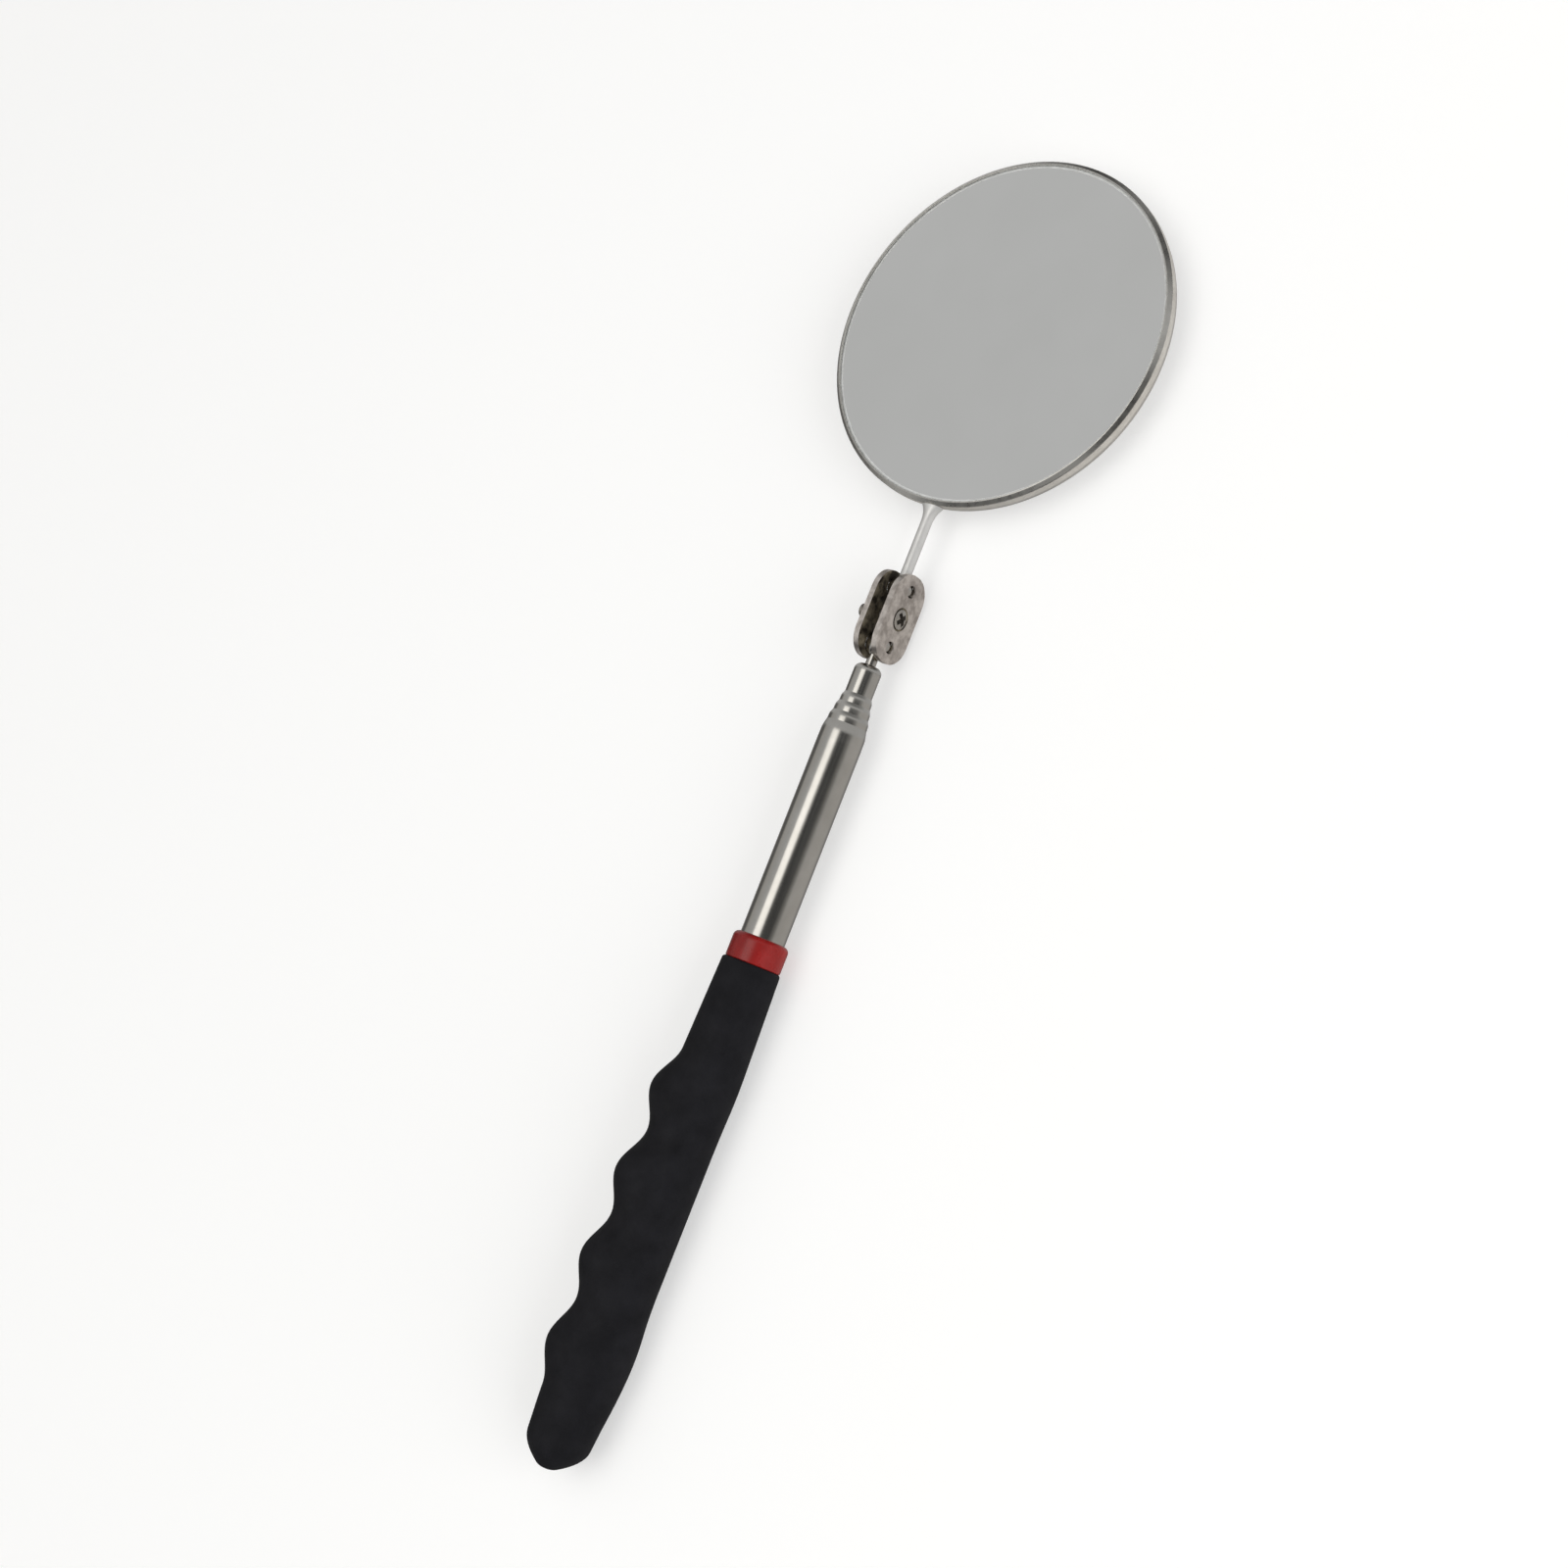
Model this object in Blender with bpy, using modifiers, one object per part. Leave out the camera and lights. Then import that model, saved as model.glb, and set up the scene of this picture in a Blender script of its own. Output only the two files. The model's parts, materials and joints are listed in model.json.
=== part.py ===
"""Telescoping inspection mirror, for Blender 4.5. Metres, +Z up.

The tool lies straight along X with its five tube sections pushed in: the grip's
tail is at -X and the round mirror at +X, facing up. The origin is under the
middle of the tool, on the surface that the grip rests on.

Places along the tool are stations, which are distances from the grip's tail.
An empty stands at each joint, so that turning or sliding it moves what follows.
"""

import math

import bmesh
import bpy
import numpy as np

MM = 0.001
DEGREE = math.pi / 180

# Clearances
GAP = 0.30 * MM  # between pieces that touch
RUNNING_GAP = 0.10 * MM  # between a shaft and the bore that it turns in

# Mirror head
MIRROR_RADIUS = 41.0 * MM
MIRROR_CENTRE = 261.1 * MM  # station
CASE_THICKNESS = 3.8 * MM
BEZEL_FACE = 1.1 * MM  # width of the bezel in front of the glass
BEZEL_WALL = 0.5 * MM
BEZEL_LIP = 0.35 * MM
BEZEL_DEPTH = 2.5 * MM
GLASS_THICKNESS = 1.5 * MM
PAD_THICKNESS = 0.4 * MM
COVER_THICKNESS = 0.65 * MM
COVER_INSET = 0.2 * MM  # the rear cover's rim stands in from the bezel's side
STEM_RADIUS = 1.25 * MM
FOOT_LENGTH = 3.4 * MM
FOOT_HALF_WIDTH = 2.7 * MM
FOOT_HALF_HEIGHT = 1.7 * MM

# Double-ball clamp
BALL_RADIUS = 2.8 * MM
LOWER_BALL = 187.45 * MM  # station
BALL_SPACING = 13.0 * MM
PLATE_LENGTH = 20.0 * MM
PLATE_WIDTH = 11.8 * MM
PLATE_THICKNESS = 1.35 * MM
PLATE_GAP = 3.6 * MM
PLATE_CORNER = 5.3 * MM
SCREW_RADIUS = 1.5 * MM
SCREW_HEAD_RADIUS = 2.3 * MM
COUNTERSINK_RADIUS = 2.7 * MM
SEAT_HOLE_RADIUS = 1.3 * MM
SCREW_HEAD_DEPTH = 0.9 * MM
SCREW_DOME = 0.4 * MM
SCREW_TAIL = 7.6 * MM  # reach beyond the middle of the clamp
RECESS_LENGTH = 3.2 * MM
RECESS_WIDTH = 0.6 * MM
RECESS_DEPTH = 0.8 * MM
NUT_ACROSS_FLATS = 5.5 * MM
NUT_THICKNESS = 2.0 * MM

# Telescoping tube: each section is one step smaller than the one round it
SECTIONS = 5
OUTER_RADIUS = 5.00 * MM
RADIUS_STEP = 0.48 * MM
TUBE_WALL = 0.26 * MM
OUTER_TAIL = 11.0 * MM  # station
FIRST_TAIL = 16.5 * MM  # station of the second section's tail
TAIL_STEP = 4.5 * MM
OUTER_TIP = 168.6 * MM  # station
TIP_STEP = 2.3 * MM
INNER_TIP = 181.0 * MM  # station
OUTER_NOSE = 4.2 * MM
INNER_NOSE = 2.2 * MM
NOSE_SQUEEZE = 0.22 * MM  # how far a crimped nose comes in outside
NOSE_BORE = 0.40 * MM  # how far inside its section's radius a nose's bore is
BUSH_COLLAR = 1.2 * MM
BUSH_PROUD = 0.10 * MM  # how far a bush stands out past its section
BUSH_SPIGOT = 2.8 * MM
BUSH_WALL = 0.6 * MM

# Neck plug and ball stud
PLUG_DOME = 1.2 * MM
PLUG_SPIGOT = 4.6 * MM
STUD_RADIUS = 1.2 * MM
STUD_FLANGE_RADIUS = 1.9 * MM
STUD_FLANGE = 1.2 * MM

# Grip and ring
GRIP_LENGTH = 113.3 * MM
GRIP_ROLL = 37 * DEGREE  # the finger side points this far up from +Y
GRIP_SIDES = 24
GRIP_STEP = 2.1 * MM
FINGER_PITCH = 19.0 * MM
FIRST_FINGER = 25.3 * MM  # station of the swelling nearest the tail
FINGERS = 4
TAIL_LENGTH = 6.3 * MM  # the stretch over which the tail fills out
TAIL_MIDDLE = 1.8 * MM  # the tail's blunt tip is off centre, towards the fingers
TAIL_FINGER_SIDE = 3.6 * MM
TAIL_HALF_WIDTH = 1.9 * MM
RING_LENGTH = 5.7 * MM
RING_RADIUS = 6.25 * MM
RING_EDGE = 0.8 * MM

# The grip's outline at stations along it, in millimetres: the finger side
# between its swellings, the swellings' height, the palm side and the half width
FINGER_SIDE = ((0, 8.0), (11, 8.65), (16, 9.0), (35, 8.9), (55, 8.6), (92, 7.4), (113.3, 6.7))
FINGER_HEIGHT = ((0, 2.5), (113.3, 3.4))
PALM_SIDE = ((0, 5.3), (10, 6.1), (18, 7.15), (27, 7.7), (37, 6.9), (76, 7.0), (86, 7.35), (113.3, 6.45))
HALF_WIDTH = ((0, 5.8), (8, 6.6), (20, 7.4), (88, 7.4), (113.3, 6.7))

# How finely round pieces are cut
TUBE_SIDES = 32
SMALL_SIDES = 24
MIRROR_SIDES = 72
SHARP_ANGLE = 35 * DEGREE
MERGE = 0.01 * MM

# Worked out from the dimensions above
OVERALL_LENGTH = MIRROR_CENTRE + MIRROR_RADIUS
UPPER_BALL = LOWER_BALL + BALL_SPACING
CLAMP_CENTRE = LOWER_BALL + BALL_SPACING / 2
PLATE_INNER = PLATE_GAP / 2
PLATE_OUTER = PLATE_INNER + PLATE_THICKNESS
SEAT_RADIUS = BALL_RADIUS + GAP
SCREW_HOLE = SCREW_RADIUS + GAP
INNER_RADIUS = OUTER_RADIUS - (SECTIONS - 1) * RADIUS_STEP
GRIP_BORE = OUTER_RADIUS + GAP
CASE_TOP = CASE_THICKNESS / 2

# Ways to lay a turned piece, whose own axis is +Z
ALONG_TOOL = (0, 90 * DEGREE, 0)
TOWARDS_SCREW_HEAD = (90 * DEGREE, 0, 0)
UPRIGHT = (0, 0, 0)


# ---------------------------------------------------------------- the scene


def clear_scene():
    for obj in list(bpy.data.objects):
        bpy.data.objects.remove(obj, do_unlink=True)


def collection(name):
    made = bpy.data.collections.new(name)
    bpy.context.scene.collection.children.link(made)
    return made


def material(name, colour, roughness, metallic=0.0):
    made = bpy.data.materials.new(name)
    made.use_nodes = True
    shader = made.node_tree.nodes["Principled BSDF"]
    shader.inputs["Base Color"].default_value = (*colour, 1)
    shader.inputs["Roughness"].default_value = roughness
    shader.inputs["Metallic"].default_value = metallic
    made.diffuse_color = (*colour, 1)
    return made


def joint(name, station, parent):
    """An empty on the tool's axis, which carries the pieces that move with it."""
    empty = bpy.data.objects.new(name, None)
    parts.objects.link(empty)
    empty.empty_display_size = 6 * MM
    empty.parent = parent
    empty.location.x = station - parent["station"]
    empty["station"] = station
    return empty


def place(obj, station, parent):
    """Stands a piece's origin at a station on the tool's axis."""
    obj.parent = parent
    obj.location.x = station - parent["station"]


# ------------------------------------------------------------ making shapes


def new_object(name, mesh, look=None, holder=None):
    obj = bpy.data.objects.new(name, mesh)
    (holder or parts).objects.link(obj)
    if look:
        mesh.materials.append(look)
    return obj


def settle(obj):
    """Makes the object's modifiers part of its mesh, and shades its round faces smooth."""
    bpy.context.view_layer.update()
    graph = bpy.context.evaluated_depsgraph_get()
    mesh = bpy.data.meshes.new_from_object(obj.evaluated_get(graph))
    obj.modifiers.clear()
    obj.data = mesh
    mesh.shade_smooth()
    mesh.set_sharp_from_angle(angle=SHARP_ANGLE)


def turned(name, outline, look=None, sides=SMALL_SIDES, ring=False, lie=UPRIGHT, holder=None):
    """A turned piece from (radius, height) points that run down its outer side.

    A ring's outline is closed; any other one starts and ends on the axis.
    """
    mesh = bpy.data.meshes.new(name)
    edges = [(i, i + 1) for i in range(len(outline) - 1)]
    if ring:
        edges.append((len(outline) - 1, 0))
    mesh.from_pydata([(radius, 0, height) for radius, height in outline], edges, [])
    obj = new_object(name, mesh, look, holder)
    obj.rotation_euler = lie
    screw = obj.modifiers.new("turn", "SCREW")
    screw.axis = "Z"
    screw.steps = sides
    screw.render_steps = sides
    screw.use_merge_vertices = True
    screw.merge_threshold = MERGE
    settle(obj)
    return obj


def arc(centre_radius, centre_height, radius, start, end, points):
    """Points of an arc in a turned outline; angles are in degrees from straight out."""
    turns = np.radians(np.linspace(start, end, points))
    return [
        (centre_radius + radius * math.cos(turn), centre_height + radius * math.sin(turn))
        for turn in turns
    ]


def loft(name, rings, look):
    """A solid through rings of points, which all have the same number of points."""
    shape = bmesh.new()
    rows = [[shape.verts.new(point) for point in ring] for ring in rings]
    count = len(rows[0])
    for row, following in zip(rows, rows[1:]):
        for i in range(count):
            j = (i + 1) % count
            shape.faces.new((row[i], row[j], following[j], following[i]))
    shape.faces.new(rows[0])
    shape.faces.new(rows[-1])
    bmesh.ops.recalc_face_normals(shape, faces=shape.faces)
    mesh = bpy.data.meshes.new(name)
    shape.to_mesh(mesh)
    shape.free()
    return new_object(name, mesh, look)


def cutter(obj):
    """Marks an object as one that only cuts others."""
    obj.hide_render = True
    obj.display_type = "WIRE"
    return obj


def cut(obj, *tools):
    for tool in tools:
        boolean = obj.modifiers.new("cut " + tool.name, "BOOLEAN")
        boolean.operation = "DIFFERENCE"
        boolean.solver = "EXACT"
        boolean.object = tool
    settle(obj)


def rod_outline(radius, top, bottom):
    return [(0, top), (radius, top), (radius, bottom), (0, bottom)]


# --------------------------------------------------------- grip and its ring


def outline_at(station, knots):
    """Reads one line of the grip's outline, whose knots are in millimetres."""
    stations, values = zip(*knots)
    return float(np.interp(station / MM, stations, values)) * MM


def swelling(station):
    """How far the grip's finger side swells out between the finger grooves."""
    along = (station - FIRST_FINGER) / FINGER_PITCH
    if not -0.5 < along < FINGERS - 0.5:
        return 0.0
    height = outline_at(station, FINGER_HEIGHT)
    return height * (1 + math.cos(2 * math.pi * along)) / 2


def filled_out(station, at_tip, beyond):
    """Runs from a value at the tail's tip to the one that holds beyond the tail."""
    short = max(0.0, 1 - station / TAIL_LENGTH)
    return beyond + (at_tip - beyond) * short**2


def grip_ring(station):
    """One cross-section of the grip: two half ellipses that share their width."""
    middle = filled_out(station, TAIL_MIDDLE, 0)
    finger = outline_at(station, FINGER_SIDE) + swelling(station)
    finger = filled_out(station, TAIL_FINGER_SIDE, finger) - middle
    palm = filled_out(station, 0, outline_at(station, PALM_SIDE)) + middle
    width = filled_out(station, TAIL_HALF_WIDTH, outline_at(station, HALF_WIDTH))
    points = []
    for i in range(GRIP_SIDES):
        turn = 2 * math.pi * i / GRIP_SIDES
        depth = finger if math.cos(turn) > 0 else palm
        towards_fingers = middle + depth * math.cos(turn)
        across = width * math.sin(turn)
        y = towards_fingers * math.cos(GRIP_ROLL) - across * math.sin(GRIP_ROLL)
        z = towards_fingers * math.sin(GRIP_ROLL) + across * math.cos(GRIP_ROLL)
        points.append((station, y, z))
    return points


def make_grip():
    """Soft dipped grip with four finger swellings, blind at its tail."""
    tail = [TAIL_LENGTH * share for share in (0, 0.12, 0.28, 0.48, 0.72)]
    length = GRIP_LENGTH - TAIL_LENGTH
    rows = round(length / GRIP_STEP)
    body = [TAIL_LENGTH + length * i / rows for i in range(rows + 1)]
    grip = loft("grip", [grip_ring(station) for station in tail + body], BLACK_VINYL)
    bore_top = GRIP_LENGTH + 1 * MM
    bore_end = OUTER_TAIL - BUSH_COLLAR - 2 * GAP
    bore = turned(
        "grip_bore",
        rod_outline(GRIP_BORE, bore_top, bore_end),
        sides=TUBE_SIDES,
        lie=ALONG_TOOL,
        holder=cutters,
    )
    cut(grip, cutter(bore))
    return grip


def make_red_ring():
    top = RING_LENGTH
    outline = (
        [(GRIP_BORE, top)]
        + arc(RING_RADIUS - RING_EDGE, top - RING_EDGE, RING_EDGE, 90, 0, 5)
        + [(RING_RADIUS, 0), (GRIP_BORE, 0)]
    )
    return turned("red_ring", outline, RED_PLASTIC, TUBE_SIDES, ring=True, lie=ALONG_TOOL)


# ------------------------------------------------------- telescoping sections


def section_radius(number):
    """Outer radius of a section; number 0 is the outermost."""
    return OUTER_RADIUS - number * RADIUS_STEP


def section_tail(number):
    return FIRST_TAIL + (number - 1) * TAIL_STEP if number else OUTER_TAIL


def section_tip(number):
    return INNER_TIP if number == SECTIONS - 1 else OUTER_TIP + number * TIP_STEP


def make_section(name, number):
    """A thin tube; all but the innermost are crimped in at the nose."""
    radius = section_radius(number)
    tail = section_tail(number)
    tip = section_tip(number) - tail
    bore = radius - TUBE_WALL
    if number == SECTIONS - 1:
        outline = [(radius, tip), (radius, 0), (bore, 0), (bore, tip)]
    else:
        nose = INNER_NOSE if number else OUTER_NOSE
        lip = 0.25 * MM
        outline = [
            (radius - NOSE_SQUEEZE - 0.08 * MM, tip),
            (radius - NOSE_SQUEEZE, tip - lip),
            (radius - NOSE_SQUEEZE / 4, tip - 0.7 * nose),
            (radius, tip - nose),
            (radius, 0),
            (bore, 0),
            (bore, tip - nose),
            (radius - NOSE_BORE, tip - 2 * lip),
            (radius - NOSE_BORE, tip),
        ]
    return turned(name, outline, CHROME, TUBE_SIDES, ring=True, lie=ALONG_TOOL)


def make_tail_bush(name, number):
    """A bush in a section's tail: its collar slides in the section round it."""
    radius = section_radius(number)
    collar = radius + BUSH_PROUD
    spigot = radius - TUBE_WALL - GAP
    bore = spigot - BUSH_WALL
    shoulder = -GAP
    outline = [
        (spigot, BUSH_SPIGOT),
        (spigot, shoulder),
        (collar, shoulder),
        (collar, shoulder - BUSH_COLLAR),
        (bore, shoulder - BUSH_COLLAR),
        (bore, BUSH_SPIGOT),
    ]
    return turned(name, outline, BRASS, ring=True, lie=ALONG_TOOL)


def make_tail_plug():
    """Closes the outer tube's tail inside the grip."""
    spigot = OUTER_RADIUS - TUBE_WALL - GAP
    outline = [
        (0, BUSH_SPIGOT),
        (spigot, BUSH_SPIGOT),
        (spigot, -GAP),
        (OUTER_RADIUS, -GAP),
        (OUTER_RADIUS, -GAP - BUSH_COLLAR),
        (0, -GAP - BUSH_COLLAR),
    ]
    return turned("tail_plug", outline, GREY_PLASTIC, lie=ALONG_TOOL)


def make_neck_plug():
    """A rounded plug in the innermost section's tip, bored for the ball stud."""
    bore = STUD_RADIUS + RUNNING_GAP
    spigot = INNER_RADIUS - TUBE_WALL - GAP
    dome = GAP + PLUG_DOME
    outline = (
        [(bore, dome)]
        + arc(INNER_RADIUS - PLUG_DOME, GAP, PLUG_DOME, 80, 0, 5)
        + [(spigot, GAP), (spigot, -PLUG_SPIGOT), (bore, -PLUG_SPIGOT)]
    )
    return turned("neck_plug", outline, CHROME, ring=True, lie=ALONG_TOOL)


# ------------------------------------------------------------------- clamp


def make_lower_ball_stud():
    """A ball on a shank; a flange behind the neck plug holds the shank in."""
    meets = math.asin(STUD_RADIUS / BALL_RADIUS) / DEGREE
    flange_top = INNER_TIP - PLUG_SPIGOT - GAP - LOWER_BALL
    outline = (
        [(0, BALL_RADIUS)]
        + arc(0, 0, BALL_RADIUS, 75, meets - 90, 10)
        + [
            (STUD_RADIUS, flange_top),
            (STUD_FLANGE_RADIUS, flange_top),
            (STUD_FLANGE_RADIUS, flange_top - STUD_FLANGE),
            (0, flange_top - STUD_FLANGE),
        ]
    )
    return turned("lower_ball_stud", outline, STEEL, lie=ALONG_TOOL)


def make_upper_ball():
    """A ball with a blind bore that the stem's end turns in."""
    bore = STEM_RADIUS + RUNNING_GAP
    mouth = math.acos(bore / BALL_RADIUS) / DEGREE
    outline = (
        [(0, RUNNING_GAP), (bore, RUNNING_GAP)]
        + arc(0, 0, BALL_RADIUS, mouth, -75, 10)
        + [(0, -BALL_RADIUS)]
    )
    return turned("upper_ball", outline, STEEL, lie=ALONG_TOOL)


def clamp_cutters():
    """The two ball seats, the holes behind them, the screw's hole and its countersink."""
    made = {}
    reach = PLATE_OUTER + 1 * MM
    for side, offset in (("lower", -BALL_SPACING / 2), ("upper", BALL_SPACING / 2)):
        outline = rod_outline(SEAT_HOLE_RADIUS, reach, -reach)
        hole = turned(f"{side}_seat_hole", outline, lie=TOWARDS_SCREW_HEAD, holder=cutters)
        hole.location.x = offset
        made[hole.name] = cutter(hole)
        name = f"{side}_seat"
        mesh = bpy.data.meshes.new(name)
        shape = bmesh.new()
        bmesh.ops.create_uvsphere(shape, u_segments=SMALL_SIDES, v_segments=12, radius=SEAT_RADIUS)
        shape.to_mesh(mesh)
        shape.free()
        made[name] = cutter(new_object(name, mesh, holder=cutters))
        made[name].rotation_euler = TOWARDS_SCREW_HEAD
        made[name].location.x = offset
    made["screw_hole"] = cutter(
        turned("screw_hole", rod_outline(SCREW_HOLE, reach, -reach), holder=cutters)
    )
    made["countersink"] = cutter(
        turned(
            "countersink",
            [
                (0, reach),
                (COUNTERSINK_RADIUS + GAP, reach),
                (COUNTERSINK_RADIUS, PLATE_OUTER),
                (SCREW_HOLE - GAP, PLATE_OUTER - SCREW_HEAD_DEPTH - GAP),
                (0, PLATE_OUTER - SCREW_HEAD_DEPTH - GAP),
            ],
            holder=cutters,
        )
    )
    for name in ("screw_hole", "countersink"):
        made[name].rotation_euler = TOWARDS_SCREW_HEAD
    return made


def make_clamp_plate(name, side, tools):
    """A rounded steel plate. side is -1 for the screw head's side and 1 for the nut's."""
    shape = bmesh.new()
    bmesh.ops.create_cube(shape, size=1)
    bmesh.ops.scale(shape, vec=(PLATE_LENGTH, PLATE_THICKNESS, PLATE_WIDTH), verts=shape.verts)
    corners = [
        edge
        for edge in shape.edges
        if abs(edge.verts[0].co.y - edge.verts[1].co.y) > PLATE_THICKNESS / 2
    ]
    bmesh.ops.bevel(shape, geom=corners, offset=PLATE_CORNER, segments=6, profile=0.5, affect="EDGES")
    middle = side * (PLATE_INNER + PLATE_THICKNESS / 2)
    bmesh.ops.translate(shape, vec=(0, middle, 0), verts=shape.verts)
    mesh = bpy.data.meshes.new(name)
    shape.to_mesh(mesh)
    shape.free()
    plate = new_object(name, mesh, SATIN_STEEL)
    cut(plate, *tools)
    return plate


def make_clamp_screw():
    """A raised countersunk screw with a cross recess, as long as the clamp needs."""
    top = PLATE_OUTER + SCREW_DOME
    chamfer = 0.4 * MM
    outline = [
        (0, top),
        (0.5 * SCREW_HEAD_RADIUS, top - 0.2 * SCREW_DOME),
        (0.85 * SCREW_HEAD_RADIUS, top - 0.65 * SCREW_DOME),
        (SCREW_HEAD_RADIUS, PLATE_OUTER),
        (SCREW_RADIUS, PLATE_OUTER - SCREW_HEAD_DEPTH),
        (SCREW_RADIUS, chamfer - SCREW_TAIL),
        (SCREW_RADIUS - chamfer, -SCREW_TAIL),
        (0, -SCREW_TAIL),
    ]
    screw = turned("clamp_screw", outline, STEEL, lie=TOWARDS_SCREW_HEAD)
    slots = []
    for name, length, width in (
        ("recess_along", RECESS_LENGTH, RECESS_WIDTH),
        ("recess_across", RECESS_WIDTH, RECESS_LENGTH),
    ):
        mesh = bpy.data.meshes.new(name)
        shape = bmesh.new()
        bmesh.ops.create_cube(shape, size=1)
        bmesh.ops.scale(shape, vec=(length, 2 * RECESS_DEPTH, width), verts=shape.verts)
        shape.to_mesh(mesh)
        shape.free()
        slot = cutter(new_object(name, mesh, holder=cutters))
        slot.location.y = -top
        slot.rotation_euler.y = 45 * DEGREE
        slots.append(slot)
    cut(screw, *slots)
    return screw


def make_clamp_nut():
    shape = bmesh.new()
    corner = NUT_ACROSS_FLATS / math.sqrt(3)
    bmesh.ops.create_cone(
        shape, cap_ends=True, segments=6, radius1=corner, radius2=corner, depth=NUT_THICKNESS
    )
    mesh = bpy.data.meshes.new("clamp_nut")
    shape.to_mesh(mesh)
    shape.free()
    nut = new_object("clamp_nut", mesh, STEEL)
    bevel = nut.modifiers.new("edges", "BEVEL")
    bevel.width = 0.25 * MM
    bevel.limit_method = "ANGLE"
    bevel.angle_limit = 70 * DEGREE
    settle(nut)
    hole = turned("nut_hole", rod_outline(SCREW_HOLE, NUT_THICKNESS, -NUT_THICKNESS), holder=cutters)
    cut(nut, cutter(hole))
    for obj in (nut, hole):
        obj.rotation_euler = TOWARDS_SCREW_HEAD
    nut.location.y = PLATE_OUTER + GAP + NUT_THICKNESS / 2
    return nut


# -------------------------------------------------------------- mirror head


def make_stem():
    """A round wire from the upper ball, spread into an oval foot at the rim."""
    start = UPPER_BALL + 2 * RUNNING_GAP + GAP
    end = MIRROR_CENTRE - MIRROR_RADIUS - GAP
    rings = []
    for station in (start, *np.linspace(end - FOOT_LENGTH, end, 7)):
        along = max(0.0, 1 - (end - station) / FOOT_LENGTH)
        half_width = STEM_RADIUS + (FOOT_HALF_WIDTH - STEM_RADIUS) * along**2.5
        half_height = STEM_RADIUS + (FOOT_HALF_HEIGHT - STEM_RADIUS) * along**2.5
        turns = np.linspace(0, 2 * math.pi, SMALL_SIDES, endpoint=False)
        rings.append(
            [
                (station - MIRROR_CENTRE, half_width * math.cos(t), half_height * math.sin(t))
                for t in turns
            ]
        )
    stem = loft("stem", rings, CHROME)
    settle(stem)
    return stem


def make_bezel():
    """A thin rolled ring: its lip holds the glass, its side covers the case."""
    edge = 0.4 * MM
    outer = MIRROR_RADIUS
    inner = outer - BEZEL_FACE
    bottom = CASE_TOP - BEZEL_DEPTH
    outline = (
        [(inner, CASE_TOP - BEZEL_LIP), (inner, CASE_TOP - 0.15 * MM), (inner + 0.15 * MM, CASE_TOP)]
        + arc(outer - edge, CASE_TOP - edge, edge, 90, 0, 4)
        + [
            (outer, bottom),
            (outer - BEZEL_WALL, bottom),
            (outer - BEZEL_WALL, CASE_TOP - BEZEL_LIP),
        ]
    )
    return turned("bezel_ring", outline, CHROME, MIRROR_SIDES, ring=True)


def make_mirror_glass():
    radius = MIRROR_RADIUS - BEZEL_WALL - GAP
    top = CASE_TOP - BEZEL_LIP - GAP
    outline = rod_outline(radius, top, top - GLASS_THICKNESS)
    return turned("mirror_glass", outline, MIRROR, MIRROR_SIDES)


def make_backing_pad():
    """A thin pad that presses the glass against the bezel's lip."""
    radius = MIRROR_RADIUS - BEZEL_WALL - 4 * GAP
    top = CASE_TOP - BEZEL_LIP - GLASS_THICKNESS - 2 * GAP
    outline = rod_outline(radius, top, top - PAD_THICKNESS)
    return turned("backing_pad", outline, FOAM, MIRROR_SIDES)


def make_back_cover():
    """A shallow pressed tray: its flange closes the case under the bezel."""
    edge = 0.4 * MM
    flange = MIRROR_RADIUS - COVER_INSET
    flange_top = CASE_TOP - BEZEL_DEPTH - GAP
    rim = MIRROR_RADIUS - BEZEL_WALL - GAP
    rim_top = CASE_TOP - BEZEL_LIP - GLASS_THICKNESS - 2 * GAP
    rim_wall = 0.55 * MM
    floor = COVER_THICKNESS - CASE_TOP
    outline = (
        [(0, floor), (rim - rim_wall, floor), (rim - rim_wall, rim_top), (rim, rim_top)]
        + [(rim, flange_top), (flange, flange_top)]
        + arc(flange - edge, edge - CASE_TOP, edge, 0, -90, 4)
        + [(0, -CASE_TOP)]
    )
    return turned("back_cover", outline, PAINTED_STEEL, MIRROR_SIDES)


# ---------------------------------------------------------------- assembly


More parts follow.
